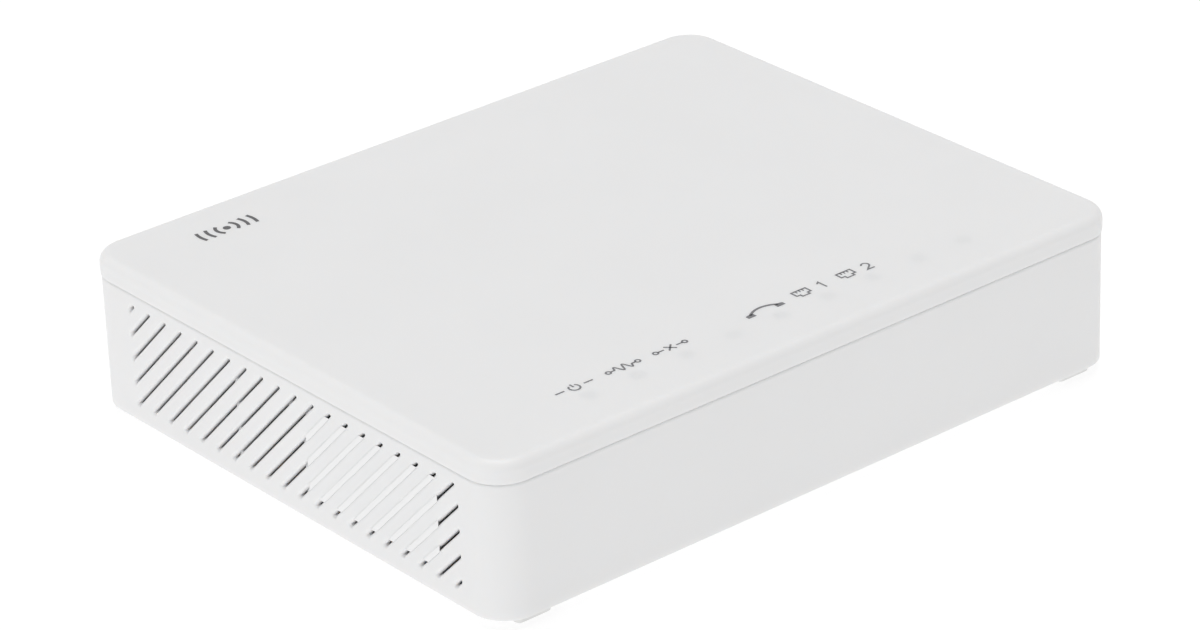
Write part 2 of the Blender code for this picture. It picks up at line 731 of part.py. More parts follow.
def capacitor(name, x, y, radius, height):
    """An electrolytic can with its rolled groove near the foot."""
    low = SEAT
    profile = [
        (radius - 0.3, low), (radius, low + 0.4), (radius, low + 1.8), (radius - 0.4, low + 2.2),
        (radius, low + 2.6), (radius, low + height - 0.5), (radius - 0.5, low + height),
    ]
    bm = bmesh.new()
    add_turned(bm, profile, (x, y))
    make(name, bm, "capacitor")


def coil(name, x, y):
    """A shielded power inductor: a square block with cut corners and a round top."""
    side, height = 7.2, 4.2
    bm = bmesh.new()
    add_rounded_block(
        bm, (x - side / 2, x + side / 2), (y - side / 2, y + side / 2), (SEAT, SEAT + height),
        1.6, top=0.5, segments=2, steps=2,
    )
    make(name, bm, "chip_black")


def crystal():
    """Clock crystal: a low oval can on a thin base."""
    x, y = -18.0, -8.0
    bm = bmesh.new()
    base = rounded(x - 5.7, x + 5.7, y - 2.4, y + 2.4, 2.35, 5)
    can = rounded(x - 5.2, x + 5.2, y - 1.9, y + 1.9, 1.85, 5)
    add_loft(bm, [(base, SEAT), (base, SEAT + 0.5), (can, SEAT + 0.5), (can, SEAT + 3.5)])
    make("clock_crystal", bm, "steel")


def board_parts():
    processor_and_sink()
    shield_and_driver()
    chip("memory_chip", (6.0, -30.0), (13.0, 9.0, 1.1))
    chip("flash_chip", (-16.0, -24.0), (5.3, 5.3, 1.8), leads=4)
    chip("phone_line_chip", (-12.0, 22.0), (8.0, 8.0, 1.0))
    for number, x in enumerate(LAN_X, 1):
        chip(f"lan_transformer_{number}", (x, 30.0), (9.4, 12.6, 5.8), leads=8)
    capacitor("capacitor_1", -40.0, 34.0, 4.0, 11.5)
    capacitor("capacitor_2", -30.0, 34.0, 4.0, 11.5)
    capacitor("capacitor_3", -52.0, 12.0, 3.15, 11.0)
    coil("inductor_1", -40.0, 18.0)
    coil("inductor_2", -28.0, 10.0)
    crystal()


# ---------------------------------------------------------------- lights

LAMPS = {"power": 0, "optical": 1, "signal_loss": 2, "phone": 4, "lan_1": 5, "lan_2": 6}
LAMP_HEIGHT = 0.9


def lamps():
    for name, index in LAMPS.items():
        x = window_x(index)
        bm = bmesh.new()
        add_rounded_block(
            bm, (x - 1.0, x + 1.0), (WINDOW_Y - 0.65, WINDOW_Y + 0.65),
            (SEAT, SEAT + LAMP_HEIGHT), 0.2, top=0.2, segments=1, steps=1,
        )
        make(f"lamp_{name}", bm, "lamp")


def light_guide():
    """Clear comb: one column over each window position, joined by a bar."""
    bm = bmesh.new()
    ends = (window_x(0) - 3.0, window_x(WINDOW_COUNT - 1) + 3.0)
    add_prism(bm, rounded(*ends, WINDOW_Y - 1.9, WINDOW_Y + 1.9, 1.8), *GUIDE_BAR_Z)
    guide = make("light_guide", bm, "clear")
    bm = bmesh.new()
    for index in range(WINDOW_COUNT):
        low = SEAT + LAMP_HEIGHT + GAP
        high = CASE_TOP - WINDOW_SKIN - GAP
        add_prism(bm, circle(WINDOW_RADIUS - GAP, (window_x(index), WINDOW_Y), 12), low, high)
    weld(guide, "columns", bm)
    bm = bmesh.new()
    for place in STAKE_WINDOWS:
        hole = circle(1.2, (window_x(place), WINDOW_Y), 12)
        add_prism(bm, hole, GUIDE_BAR_Z[0] - 1, GUIDE_BAR_Z[1] + 1)
    cut(guide, "stake_holes", bm)


# ---------------------------------------------------------------- connectors

SOCKET_DEPTH = 13.5
SOCKET_FLOOR = 4.2             # socket floor above the housing's underside
SOCKET_HEIGHT = 6.9


def modular_jack(name, x, size, socket_width, contacts):
    """A modular jack with its latch notch below, and the contact insert under its roof."""
    span_x, span_y, span_z = connector_span(size, x)
    bm = bmesh.new()
    add_box(bm, span_x, span_y, span_z)
    housing = make(f"{name}_jack", bm, "jack_black")
    floor = span_z[0] + SOCKET_FLOOR
    roof = floor + SOCKET_HEIGHT
    half = socket_width / 2
    notch, notch_depth, step, step_depth = 3.1, 1.6, 1.7, 2.9
    mouth = [
        (x - step, floor - step_depth), (x + step, floor - step_depth),
        (x + step, floor - notch_depth), (x + notch, floor - notch_depth),
        (x + notch, floor), (x + half, floor), (x + half, roof), (x - half, roof),
        (x - half, floor), (x - notch, floor), (x - notch, floor - notch_depth),
        (x - step, floor - notch_depth),
    ]
    bm = bmesh.new()
    add_prism(bm, mouth, PANEL_FACE - SOCKET_DEPTH, PANEL_FACE + 1, "Y")
    cut(housing, "socket", bm)

    pitch, blade, block = 1.02, 0.45, 1.1
    inside = PANEL_FACE - SOCKET_DEPTH + GAP
    reach = PANEL_FACE - 2.5
    wide = contacts / 2 * pitch + 0.4
    under = roof - GAP - block
    bm = bmesh.new()
    add_box(bm, (x - wide, x + wide), (inside, reach), (under, roof - GAP))
    insert = make(f"{name}_contacts", bm, "gold")
    bm = bmesh.new()
    spring = [
        (reach - 1.0, under + 0.3), (reach - 1.6, under + 0.3), (inside + 2.4, under - 0.7),
        (inside + 1.6, under - 0.7), (inside + 1.6, under - 1.1), (inside + 2.6, under - 1.1),
    ]
    for i in range(contacts):
        at = x + (i - (contacts - 1) / 2) * pitch
        add_prism(bm, spring, at - blade / 2, at + blade / 2, "X")
    weld(insert, "springs", bm)


def optical_parts():
    """Receptacle for a square fibre plug, with the metal subassembly behind it."""
    span_x, span_y, span_z = connector_span(OPTICAL_SIZE, OPTICAL_X)
    centre = (OPTICAL_X, (span_z[0] + span_z[1]) / 2)
    x, z = centre
    port_half_width, port_half_height, recess, back_wall = 4.6, 3.6, 4.6, 4.0
    back = span_y[0] + back_wall
    bm = bmesh.new()
    add_box(bm, span_x, span_y, span_z)
    body = make("optical_receptacle", bm, "optical_blue")
    port = rectangle(
        x - port_half_width, x + port_half_width, z - port_half_height, z + port_half_height
    )
    bm = bmesh.new()
    add_prism(bm, port, back, PANEL_FACE + 1, "Y")
    cut(body, "port", bm)
    bm = bmesh.new()
    add_prism(bm, circle(2.5, centre), back - 1, PANEL_FACE - recess, "Y")
    weld(body, "sleeve_holder", bm)
    bm = bmesh.new()
    add_prism(bm, circle(1.9, centre), span_y[0] - 1, PANEL_FACE, "Y")
    cut(body, "sleeve_bore", bm)

    bm = bmesh.new()
    outer, inner = circle(1.6, centre), circle(1.25, centre)
    low, high = span_y[0] + 2.0, PANEL_FACE - recess - 0.6
    rings = [(outer, low), (outer, high), (inner, high), (inner, low)]
    add_loft(bm, rings, "Y", tube=True)
    make("ferrule_sleeve", bm, "ceramic")

    head = span_y[0] - GAP
    tail = head - 9.0
    profile = [(2.2, head), (2.2, head - 1.0), (3.2, head - 1.0), (3.2, tail)]
    bm = bmesh.new()
    add_turned(bm, profile, centre, "Y")
    make("optical_subassembly", bm, "steel")
    can = [(2.7, 0.0), (2.7, 0.8), (2.1, 0.8), (2.1, 3.4), (1.8, 3.7)]
    bm = bmesh.new()
    add_turned(bm, [(r, tail - GAP - along) for r, along in can], centre, "Y")
    make("laser_can", bm, "tin")
    bm = bmesh.new()
    beside = x - 3.2 - GAP
    add_turned(bm, [(r, beside - along) for r, along in can], ((head + tail) / 2, z), "X")
    make("receiver_can", bm, "tin")


def power_inlet():
    span_x, span_y, span_z = connector_span(POWER_IN_SIZE, POWER_IN_X)
    centre = (POWER_IN_X, SEAT + 6.3)
    bm = bmesh.new()
    add_box(bm, span_x, span_y, span_z)
    housing = make("power_inlet", bm, "jack_black")
    bore_end = PANEL_FACE - 9.5
    bm = bmesh.new()
    bore = [(1.35, span_y[0] - 1), (1.35, bore_end), (3.15, bore_end), (3.15, PANEL_FACE + 1)]
    add_turned(bm, bore, centre, "Y", 20)
    cut(housing, "bore", bm)
    bm = bmesh.new()
    pin = [(1.05, span_y[0] + 0.5), (1.05, PANEL_FACE - 1.6), (0.5, PANEL_FACE - 1.0)]
    add_turned(bm, pin, centre, "Y", 12)
    make("power_inlet_pin", bm, "tin")


# ---------------------------------------------------------------- controls

def power_button():
    """Latching switch on the board, and the plunger and cap that slide into it."""
    x, z = BUTTON_X, button_axis_z()
    width, depth, height = SWITCH_SIZE
    front = PANEL_FACE - 8.7
    bm = bmesh.new()
    add_box(bm, (x - width / 2, x + width / 2), (front - depth, front), (SEAT, SEAT + height))
    body = make("power_switch", bm, "jack_black")
    shaft = PLUNGER_SIDE / 2
    hole = shaft + GAP
    bm = bmesh.new()
    add_prism(bm, rectangle(x - hole, x + hole, z - hole, z + hole), front - 8, front + 1, "Y")
    cut(body, "shaft_hole", bm)

    axis = (x, PANEL_FACE, z)
    bm = bmesh.new()
    side = rectangle(x - shaft, x + shaft, z - shaft, z + shaft)
    add_prism(bm, side, front - 5.5, PANEL_FACE - 0.5, "Y")
    make("power_switch_plunger", bm, "ceramic", axis)

    root, outer = PANEL_FACE - 4.0, PANEL_FACE + BUTTON_OUT
    profile = [
        (BUTTON_RADIUS, root), (BUTTON_RADIUS, outer - 0.5),
        (BUTTON_RADIUS - 0.15, outer - 0.15), (BUTTON_RADIUS - 0.5, outer),
    ]
    bm = bmesh.new()
    add_turned(bm, profile, (x, z), "Y", 28)
    cap = make("power_button_cap", bm, "button_grey", axis)
    bm = bmesh.new()
    add_box(bm, (x - BUTTON_EARS, x + BUTTON_EARS), (root, root + 1.2), (z - 2.5, z + 2.5))
    weld(cap, "ears", bm)
    bm = bmesh.new()
    add_prism(
        bm, rectangle(x - hole, x + hole, z - hole, z + hole), root - 1, PANEL_FACE - 0.2, "Y"
    )
    cut(cap, "socket", bm)


def reset_button():
    """Small press switch on the board. Its plunger is reached through the pinhole."""
    x, z = RESET_X, reset_axis_z()
    width, depth, height = RESET_SIZE
    rear = PANEL_BACK - 3.2
    bm = bmesh.new()
    add_box(bm, (x - width / 2, x + width / 2), (rear - depth, rear), (SEAT, SEAT + height))
    body = make("reset_switch", bm, "jack_black")
    bm = bmesh.new()
    add_prism(bm, circle(RESET_PLUNGER_RADIUS + GAP, (x, z)), rear - 2.6, rear + 1, "Y")
    cut(body, "plunger_hole", bm)
    bm = bmesh.new()
    add_turned(
        bm, [(RESET_PLUNGER_RADIUS, rear - 2.0), (RESET_PLUNGER_RADIUS, rear + 2.6)], (x, z), "Y"
    )
    make("reset_plunger", bm, "button_grey", (x, PANEL_FACE, z))


def main():
    for obj in list(bpy.data.objects):
        bpy.data.objects.remove(obj, do_unlink=True)
    base_shell()
    top_cover()
    vent_baffle()
    feet()
    rating_label()
    screws()
    main_board()
    board_parts()
    lamps()
    light_guide()
    for number, x in enumerate(LAN_X, 1):
        modular_jack(f"lan_{number}", x, LAN_SIZE, 11.9, 8)
    modular_jack("phone", PHONE_X, PHONE_SIZE, 9.8, 4)
    optical_parts()
    power_inlet()
    power_button()
    reset_button()


main()
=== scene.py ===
"""Looks of the optical network terminal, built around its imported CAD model.

Lengths are in millimetres here and become metres when a piece is made. +X runs along
the front, +Y points at the connector side and +Z is up, as in the CAD model.
"""

import json
import math

import bmesh
import bpy
from mathutils import Matrix, Vector
from mathutils.geometry import tessellate_polygon


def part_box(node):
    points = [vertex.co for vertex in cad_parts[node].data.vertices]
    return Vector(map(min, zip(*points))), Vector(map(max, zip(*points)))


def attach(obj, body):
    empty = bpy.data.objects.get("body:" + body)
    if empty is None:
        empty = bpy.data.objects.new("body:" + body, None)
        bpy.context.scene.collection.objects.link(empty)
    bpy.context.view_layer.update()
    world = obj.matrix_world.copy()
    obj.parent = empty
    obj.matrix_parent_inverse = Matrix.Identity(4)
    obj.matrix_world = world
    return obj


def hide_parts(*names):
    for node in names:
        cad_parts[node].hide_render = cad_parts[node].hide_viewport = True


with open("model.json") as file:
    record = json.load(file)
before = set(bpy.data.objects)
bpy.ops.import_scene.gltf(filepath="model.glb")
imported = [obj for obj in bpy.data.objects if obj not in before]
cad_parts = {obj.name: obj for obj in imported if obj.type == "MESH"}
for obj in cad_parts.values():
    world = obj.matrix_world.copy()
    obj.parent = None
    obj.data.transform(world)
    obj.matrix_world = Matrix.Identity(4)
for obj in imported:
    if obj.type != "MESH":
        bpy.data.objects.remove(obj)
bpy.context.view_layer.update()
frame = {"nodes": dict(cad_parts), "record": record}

MM = 0.001
GAP = 0.3


def span(node):
    """X, Y and Z range of a CAD node, in millimetres."""
    low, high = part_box(node)
    return [(low[i] / MM, high[i] / MM) for i in range(3)]


def middle(node):
    """X and Z of a CAD node's middle, as seen from behind."""
    x, _, z = span(node)
    return sum(x) / 2, sum(z) / 2


# ---------------------------------------------------------------- sizes from the frame

BASE_X, BASE_Y, BASE_Z = span("base_shell")
COVER_X, COVER_Y, COVER_Z = span("top_cover")
UNDERSIDE, BASE_TOP = BASE_Z
CASE_TOP = COVER_Z[1]
COVER_BOTTOM = BASE_TOP + GAP
SEAM = 0.13                            # the base's outer edge reaches this near the skirt
BASE_RADIUS, COVER_RADIUS = 7.3, 7.5
WALL, FLOOR, ROOF = 2.2, 2.0, 2.0
FLOOR_TOP = UNDERSIDE + FLOOR
ROOF_UNDERSIDE = CASE_TOP - ROOF
INNER_X = BASE_X[1] - WALL
INNER_FRONT = BASE_Y[0] + WALL
PANEL_FACE = span("lan_1_jack")[1][1]
PANEL_BACK = PANEL_FACE - 2.2
BAY_TOP = UNDERSIDE + 24.6
BAY_X, BAY_Z, BAY_CORNER = (-66.0, 66.0), (UNDERSIDE + 4.0, BAY_TOP), 1.6
CONNECTORS = ("optical_receptacle", "lan_1_jack", "lan_2_jack", "phone_jack", "power_inlet")
BUTTON_HOLE, RESET_HOLE = 4.4, 1.0     # radii

SLOT_COUNT, SLOT_PITCH, SLOT_WIDTH, SLOT_FIRST = 24, 5.14, 0.48, 72.36
GRILLE_Y, GRILLE_Z = (-51.2, 48.7), (3.7, 24.8)
GRILLE_WALL, GRILLE_MARGIN, GRILLE_LIP = 1.3, 0.7, 0.7
GRILLE_INNER = BASE_X[1] - GRILLE_WALL
RIB_Y, STOP_TOP = (15.4, 16.4), UNDERSIDE + 19.6     # wall ribs, and the plate's stop

PLATE_Y, PLATE_Z = (-44.1, -5.8), (UNDERSIDE + 4.8, UNDERSIDE + 22.8)
TAB_REAR, TAB_Z = 2.5, (UNDERSIDE + 20.8, UNDERSIDE + 22.3)
BAR_SLOTS = range(12, 22)
BAR_ROOT, BAR_SHEAR = 2.0, 1.0         # a bar's depth, and its head's shift along the slot

LIP_THICKNESS, LIP_DROP, SKIRT = 1.2, 2.2, 1.8
TONGUE_WIDTH, TONGUE_DROP, HOOK_REACH, HOOK_HEIGHT = 8.0, 4.9, 0.8, 1.0
FRONT_TONGUES, REAR_TONGUES = (-50.0, 0.0, 50.0), (-28.0, 44.0)
WINDOW_COUNT, WINDOW_FIRST_X, WINDOW_PITCH, WINDOW_Y = 9, -46.5, 11.6, -51.7
WINDOW_RADIUS, WINDOW_SKIN = 1.6, 0.6
COVER_FILLET, COVER_STEPS = 2.0, 24
ROOF_RIBS = (-30.0, 0.0, 30.0)
STAKES, STAKE_TIP = (1.5, 6.5), 24.1   # heat stakes, midway between two windows

CASE_SCREWS = ((-66.0, 40.0), (66.0, 40.0))
BOARD_SCREWS = ((-62.0, -46.0), (62.0, -46.0), (-62.0, 26.0), (62.0, 26.0))
CASE_BOSS_RADIUS, CASE_BOSS_TOP = 4.3, 14.0
COUNTERBORE_RADIUS, COUNTERBORE_TOP = 3.2, 11.7
CASE_BORE, BOARD_BORE = 1.75, 1.55     # radii of the screw holes
POST_RADIUS = 3.5
STANDOFF_RADIUS, STANDOFF_TOP = 3.2, FLOOR_TOP + 4.2

KEYHOLES = (-50.0, 50.0)
FEET = ("front_left", "front_right", "rear_left", "rear_right")
FOOT_CORNER = 1.0
LABEL_X, LABEL_Y, LABEL_Z = span("rating_label")
BUTTON_X, BUTTON_Z = middle("power_button_cap")
RESET_X, RESET_Z = middle("reset_plunger")


# ---------------------------------------------------------------- outlines

def circle(radius, centre=(0.0, 0.0), segments=40):
    turn = 2 * math.pi / segments
    return [
        (centre[0] + radius * math.cos(i * turn), centre[1] + radius * math.sin(i * turn))
        for i in range(segments)
    ]


def rounded(u, v, radius, segments=8):
    """A rectangle with round corners, counter-clockwise from the middle of the +U side."""
    corners = (
        (u[1] - radius, v[1] - radius), (u[0] + radius, v[1] - radius),
        (u[0] + radius, v[0] + radius), (u[1] - radius, v[0] + radius),
    )
    points = []
    for quarter, (a, b) in enumerate(corners):
        for i in range(segments + 1):
            angle = math.pi / 2 * (quarter + i / segments)
            points.append((a + radius * math.cos(angle), b + radius * math.sin(angle)))
    return points


def shrunk(u, v, radius, inset, segments):
    """The same rectangle with every side moved in."""
    return rounded(
        (u[0] + inset, u[1] - inset), (v[0] + inset, v[1] - inset), radius - inset, segments
    )


def offset(outline, distance):
    """Move every side of a counter-clockwise outline outwards."""
    moved = []
    for i, point in enumerate(outline):
        here = Vector(point)
        before = (here - Vector(outline[i - 1])).normalized()
        after = (Vector(outline[(i + 1) % len(outline)]) - here).normalized()
        first = Vector((before.y, -before.x))
        second = Vector((after.y, -after.x))
        moved.append(tuple(here + (first + second) * distance / (1 + first.dot(second))))
    return moved


def eased(outline, radius, steps):
    """Round the corners of an outline."""
    points = []
    for i, point in enumerate(outline):
        here = Vector(point)
        back = Vector(outline[i - 1]) - here
        on = Vector(outline[(i + 1) % len(outline)]) - here
        half = back.angle(on) / 2
        reach = min(radius / math.tan(half), back.length * 0.45, on.length * 0.45)
        start, end = here + back.normalized() * reach, here + on.normalized() * reach
        for k in range(steps + 1):
            t = k / steps
            points.append(tuple(
                start * (1 - t) ** 2 + here * 2 * t * (1 - t) + end * t ** 2
            ))
    return points


def clip(points, a, b, limit):
    """Keep the part of a convex outline where a * u + b * v <= limit."""
    kept = []
    for (u0, v0), (u1, v1) in zip(points, points[1:] + points[:1]):
        d0 = a * u0 + b * v0 - limit
        d1 = a * u1 + b * v1 - limit
        if d0 <= 0:
            kept.append((u0, v0))
        if d0 * d1 < 0:
            t = d0 / (d0 - d1)
            kept.append((u0 + t * (u1 - u0), v0 + t * (v1 - v0)))
    return kept


def box_outline(u, v):
    return [(u[0], v[0]), (u[1], v[0]), (u[1], v[1]), (u[0], v[1])]


def wider(reach, by=GAP):
    """A range with both ends moved out."""
    return (reach[0] - by, reach[1] + by)


def vent_slot(index):
    """One slot of a grille, in y and z: a strip at 45 degrees cut square by the field."""
    centre = SLOT_FIRST - index * SLOT_PITCH
    half = SLOT_WIDTH / 2 * math.sqrt(2)
    slot = box_outline(GRILLE_Y, GRILLE_Z)
    slot = clip(slot, 1, 1, centre + half)
    slot = clip(slot, -1, -1, half - centre)
    return eased([(y, z + UNDERSIDE) for y, z in slot], 0.2, 3)


def curl(radius, steps=5):
    """(inset, rise) points of a quarter round, from the flat face to the wall."""
    turn = math.pi / 2 / steps
    return [
        (radius * (1 - math.sin(i * turn)), radius * (1 - math.cos(i * turn)))
        for i in range(steps + 1)
    ]


# ---------------------------------------------------------------- skins

SHARP_ANGLE = math.radians(50)


class Skin:
    """Points and faces of one piece in millimetres. slot picks a face's material."""

    def __init__(self):
        self.points, self.faces, self.slots, self.slot = [], [], [], 0

    def ring(self, points):
        start = len(self.points)
        self.points.extend(points)
        return list(range(start, len(self.points)))

    def level(self, outline, z):
        """A ring that lies flat at a height."""
        return self.ring([(u, v, z) for u, v in outline])

    def face(self, indices):
        self.faces.append(tuple(indices))
        self.slots.append(self.slot)

    def band(self, lower, upper, skip=()):
        for i in range(len(lower)):
            if i not in skip:
                self.face((lower[i - 1], lower[i], upper[i], upper[i - 1]))

    def bands(self, rings):
        """The faces between each ring and the next."""
        for before, after in zip(rings, rings[1:]):
            self.band(before, after)

    def fill(self, ring, holes=()):
        """Close a ring, around holes if there are any."""
        if not holes:
            self.face(ring)
            return
        loops = [ring, *holes]
        flat = [i for loop in loops for i in loop]
        corners = [[Vector(self.points[i]) for i in loop] for loop in loops]
        for triangle in tessellate_polygon(corners):
            self.face(flat[i] for i in triangle)

    def walk(self, place, outline, steps):
        """Carry an outline through (growth, depth) steps. Returns first and last ring."""
        rings = []
        for growth, depth in steps:
            moved = offset(outline, growth) if growth else outline
            rings.append(self.ring([place(u, v, depth) for u, v in moved]))
        self.bands(rings)
        return rings[0], rings[-1]

    def blind(self, place, outline, steps):
        """An opening with a floor. Returns the ring at its mouth."""
        mouth, floor = self.walk(place, outline, steps)
        self.fill(floor)
        return mouth

    def solid(self, place, outline, steps):
        """A closed piece of the skin: an outline carried through steps, with both ends."""
        first, last = self.walk(place, outline, steps)
        self.fill(first)
        self.fill(last)

    def turned(self, place, profile, centre, segments):
        """A closed turned piece from (radius, depth) steps."""
        rings = [
            self.ring([place(u, v, depth) for u, v in circle(radius, centre, segments)])
            for radius, depth in profile
        ]
        self.bands(rings)
        self.fill(rings[0])
        self.fill(rings[-1])


def upright(u, v, w):
    return (u, v, w)


def along_x(u, v, w):
    return (w, u, v)


def along_y(u, v, w):
    return (u, w, v)


def facing_rear(face):
    """Places (x, z, depth) behind a face that looks along +Y."""
    return lambda u, v, depth: (u, face - depth, v)


def sunk(radius, depth, floor_radius=0.0):
    """Steps of a blind opening: round lip, straight wall and a small fillet at its floor."""
    if not floor_radius:
        return through(radius, depth)
    fillet = [(-inset, depth - rise) for inset, rise in reversed(curl(floor_radius, 3))]
    return curl(radius, 3) + fillet


def through(radius, depth, steps=3):
    """Steps of an opening with a round lip at the face and a straight wall."""
    return curl(radius, steps) + [(0.0, depth)]


def piece(name, skin, finishes, body="case", replaces=()):
    """Make the skin an object that rides on a body. finishes names its materials."""
    mesh = bpy.data.meshes.new(name)
    mesh.from_pydata([Vector(p) * MM for p in skin.points], [], skin.faces)
    for item in finishes:
        mesh.materials.append(FINISHES[item])
    mesh.polygons.foreach_set("material_index", skin.slots)
    bm = bmesh.new()
    bm.from_mesh(mesh)
    bmesh.ops.recalc_face_normals(bm, faces=bm.faces)
    bm.to_mesh(mesh)
    bm.free()
    mesh.shade_smooth()
    mesh.set_sharp_from_angle(angle=SHARP_ANGLE)
    obj = bpy.data.objects.new(name, mesh)
    bpy.context.scene.collection.objects.link(obj)
    normals = obj.modifiers.new("normals", "WEIGHTED_NORMAL")
    normals.keep_sharp = True
    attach(obj, body)
    if replaces:
        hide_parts(*replaces)
    return obj


# ---------------------------------------------------------------- materials

class Finish:
    """Builds one Principled material node by node."""

    def __init__(self, name):
        self.material = bpy.data.materials.new(name)
        self.material.use_nodes = True
        self.tree = self.material.node_tree
        self.shader = self.tree.nodes["Principled BSDF"]
        self.where = self.tree.nodes.new("ShaderNodeTexCoord").outputs["Object"]

    def link(self, output, target):
        self.tree.links.new(output, target)

    def noise(self, size, detail, stretch=None):
        """Noise whose lumps are about size millimetres across."""
        node = self.tree.nodes.new("ShaderNodeTexNoise")
        node.inputs["Scale"].default_value = 1.0 / (size * MM)
        node.inputs["Detail"].default_value = detail
        source = self.where
        if stretch:
            mapping = self.tree.nodes.new("ShaderNodeMapping")
            mapping.inputs["Scale"].default_value = stretch
            self.link(self.where, mapping.inputs["Vector"])
            source = mapping.outputs["Vector"]
        self.link(source, node.inputs["Vector"])
        return node.outputs["Fac"]

    def spread(self, value, low, high, start=0.3, end=0.7):
        """Map a 0 to 1 value to the range from low to high."""
        node = self.tree.nodes.new("ShaderNodeMapRange")
        node.inputs["From Min"].default_value = start
        node.inputs["From Max"].default_value = end
        node.inputs["To Min"].default_value = low
        node.inputs["To Max"].default_value = high
        self.link(value, node.inputs["Value"])
        return node.outputs["Result"]

    def mix(self, factor, first, second):
        """Mix two colours, each a tuple or a node's output."""
        node = self.tree.nodes.new("ShaderNodeMix")
        node.data_type = "RGBA"
        self.link(factor, node.inputs[0])
        for socket, value in ((node.inputs[6], first), (node.inputs[7], second)):
            if isinstance(value, tuple):
                socket.default_value = (*value, 1.0)
            else:
                self.link(value, socket)
        return node.outputs[2]

    def math(self, operation, first, second=0.0):
        node = self.tree.nodes.new("ShaderNodeMath")
        node.operation = operation
        for socket, value in zip(node.inputs, (first, second)):
            if isinstance(value, float):
                socket.default_value = value
            else:
                self.link(value, socket)
        return node.outputs["Value"]

    def axes(self):
        node = self.tree.nodes.new("ShaderNodeSeparateXYZ")
        self.link(self.where, node.inputs["Vector"])
        return node.outputs["X"], node.outputs["Y"], node.outputs["Z"]

    def bump(self, height, strength, distance):
        node = self.tree.nodes.new("ShaderNodeBump")
        node.inputs["Strength"].default_value = strength
        node.inputs["Distance"].default_value = distance * MM
        self.link(height, node.inputs["Height"])
        self.link(node.outputs["Normal"], self.shader.inputs["Normal"])


def shade(colour, factor):
    return tuple(min(1.0, channel * factor) for channel in colour)


GRAIN_SIZE, GRAIN_DEPTH = 0.35, 0.02


def finish(name, colour, roughness, metallic=0.0, mottle=0.03, lump=9.0, grain=0.15,
           gloss_swing=0.04, stretch=None):
    """A moulded or machined surface: faint mottling, uneven gloss and a fine grain."""
    made = Finish(name)
    shader = made.shader
    lumps = made.noise(lump, 3.0)
    tint = made.mix(
        made.spread(lumps, 0.0, 1.0), shade(colour, 1 - mottle), shade(colour, 1 + mottle)
    )
    made.link(tint, shader.inputs["Base Color"])
    gloss = made.spread(
        made.noise(lump / 3, 2.0), roughness - gloss_swing, roughness + gloss_swing
    )
    made.link(gloss, shader.inputs["Roughness"])
    shader.inputs["Metallic"].default_value = metallic
    made.bump(made.noise(GRAIN_SIZE, 2.0, stretch), grain, GRAIN_DEPTH)
    return made


CASE_WHITE = (0.85, 0.85, 0.852)
CASE_SURFACE = dict(roughness=0.42, mottle=0.006, lump=30.0, grain=0.10)


def plastic(made):
    """Light runs a little way through the white plastic."""
    made.shader.inputs["Subsurface Weight"].default_value = 0.6
    made.shader.inputs["Subsurface Radius"].default_value = (1.0, 0.95, 0.9)
    made.shader.inputs["Subsurface Scale"].default_value = 1.2 * MM
    return made


def cover_white():
    """Case plastic, with painted shade: a touch darker over each light window, where the roof
    is thin.
    """
    made = finish("cover_white", CASE_WHITE, **CASE_SURFACE)
    shader = made.shader
    tint = shader.inputs["Base Color"].links[0].from_socket
    x, y, _ = made.axes()
    along = made.math("SUBTRACT", x, WINDOW_FIRST_X * MM)
    step = made.math("DIVIDE", along, WINDOW_PITCH * MM)
    nearest = made.math("ROUND", step)
    nearest = made.math("MINIMUM", made.math("MAXIMUM", nearest, 0.0), WINDOW_COUNT - 1.0)
    away_x = made.math("MULTIPLY", made.math("SUBTRACT", step, nearest), WINDOW_PITCH * MM)
    away_y = made.math("SUBTRACT", y, WINDOW_Y * MM)
    squares = made.math(
        "ADD", made.math("MULTIPLY", away_x, away_x), made.math("MULTIPLY", away_y, away_y)
    )
    away = made.math("SQRT", squares)
    inner, outer = WINDOW_RADIUS * 0.6 * MM, WINDOW_RADIUS * 1.3 * MM
    # painted shade: the base colour falls to 0.985 of case white over each light window
    thin = made.spread(away, 1.0, 0.0, inner, outer)
    made.link(made.mix(thin, tint, shade(CASE_WHITE, 0.985)), shader.inputs["Base Color"])
    return plastic(made).material


def board_green():
    """Solder mask over copper: a fine mesh of traces, a little lighter than the ground."""
    made = finish("board_green", (0.010, 0.060, 0.028), 0.32, mottle=0.10, lump=20.0)
    shader = made.shader
    tint = shader.inputs["Base Color"].links[0].from_socket
    cells = made.tree.nodes.new("ShaderNodeTexVoronoi")
    cells.feature = "DISTANCE_TO_EDGE"
    cells.inputs["Scale"].default_value = 1.0 / (3.5 * MM)
    made.link(made.where, cells.inputs["Vector"])
    trace = made.spread(cells.outputs["Distance"], 1.0, 0.0, 0.03, 0.05)
    made.link(made.mix(trace, tint, (0.03, 0.14, 0.07)), shader.inputs["Base Color"])
    return made.material


def clear_plastic():
    """The light guide's plastic."""
    made = finish("clear_plastic", (0.86, 0.90, 0.92), 0.12, mottle=0.01, gloss_swing=0.02)
    made.shader.inputs["Transmission Weight"].default_value = 0.8
    made.shader.inputs["IOR"].default_value = 1.58
    return made.material


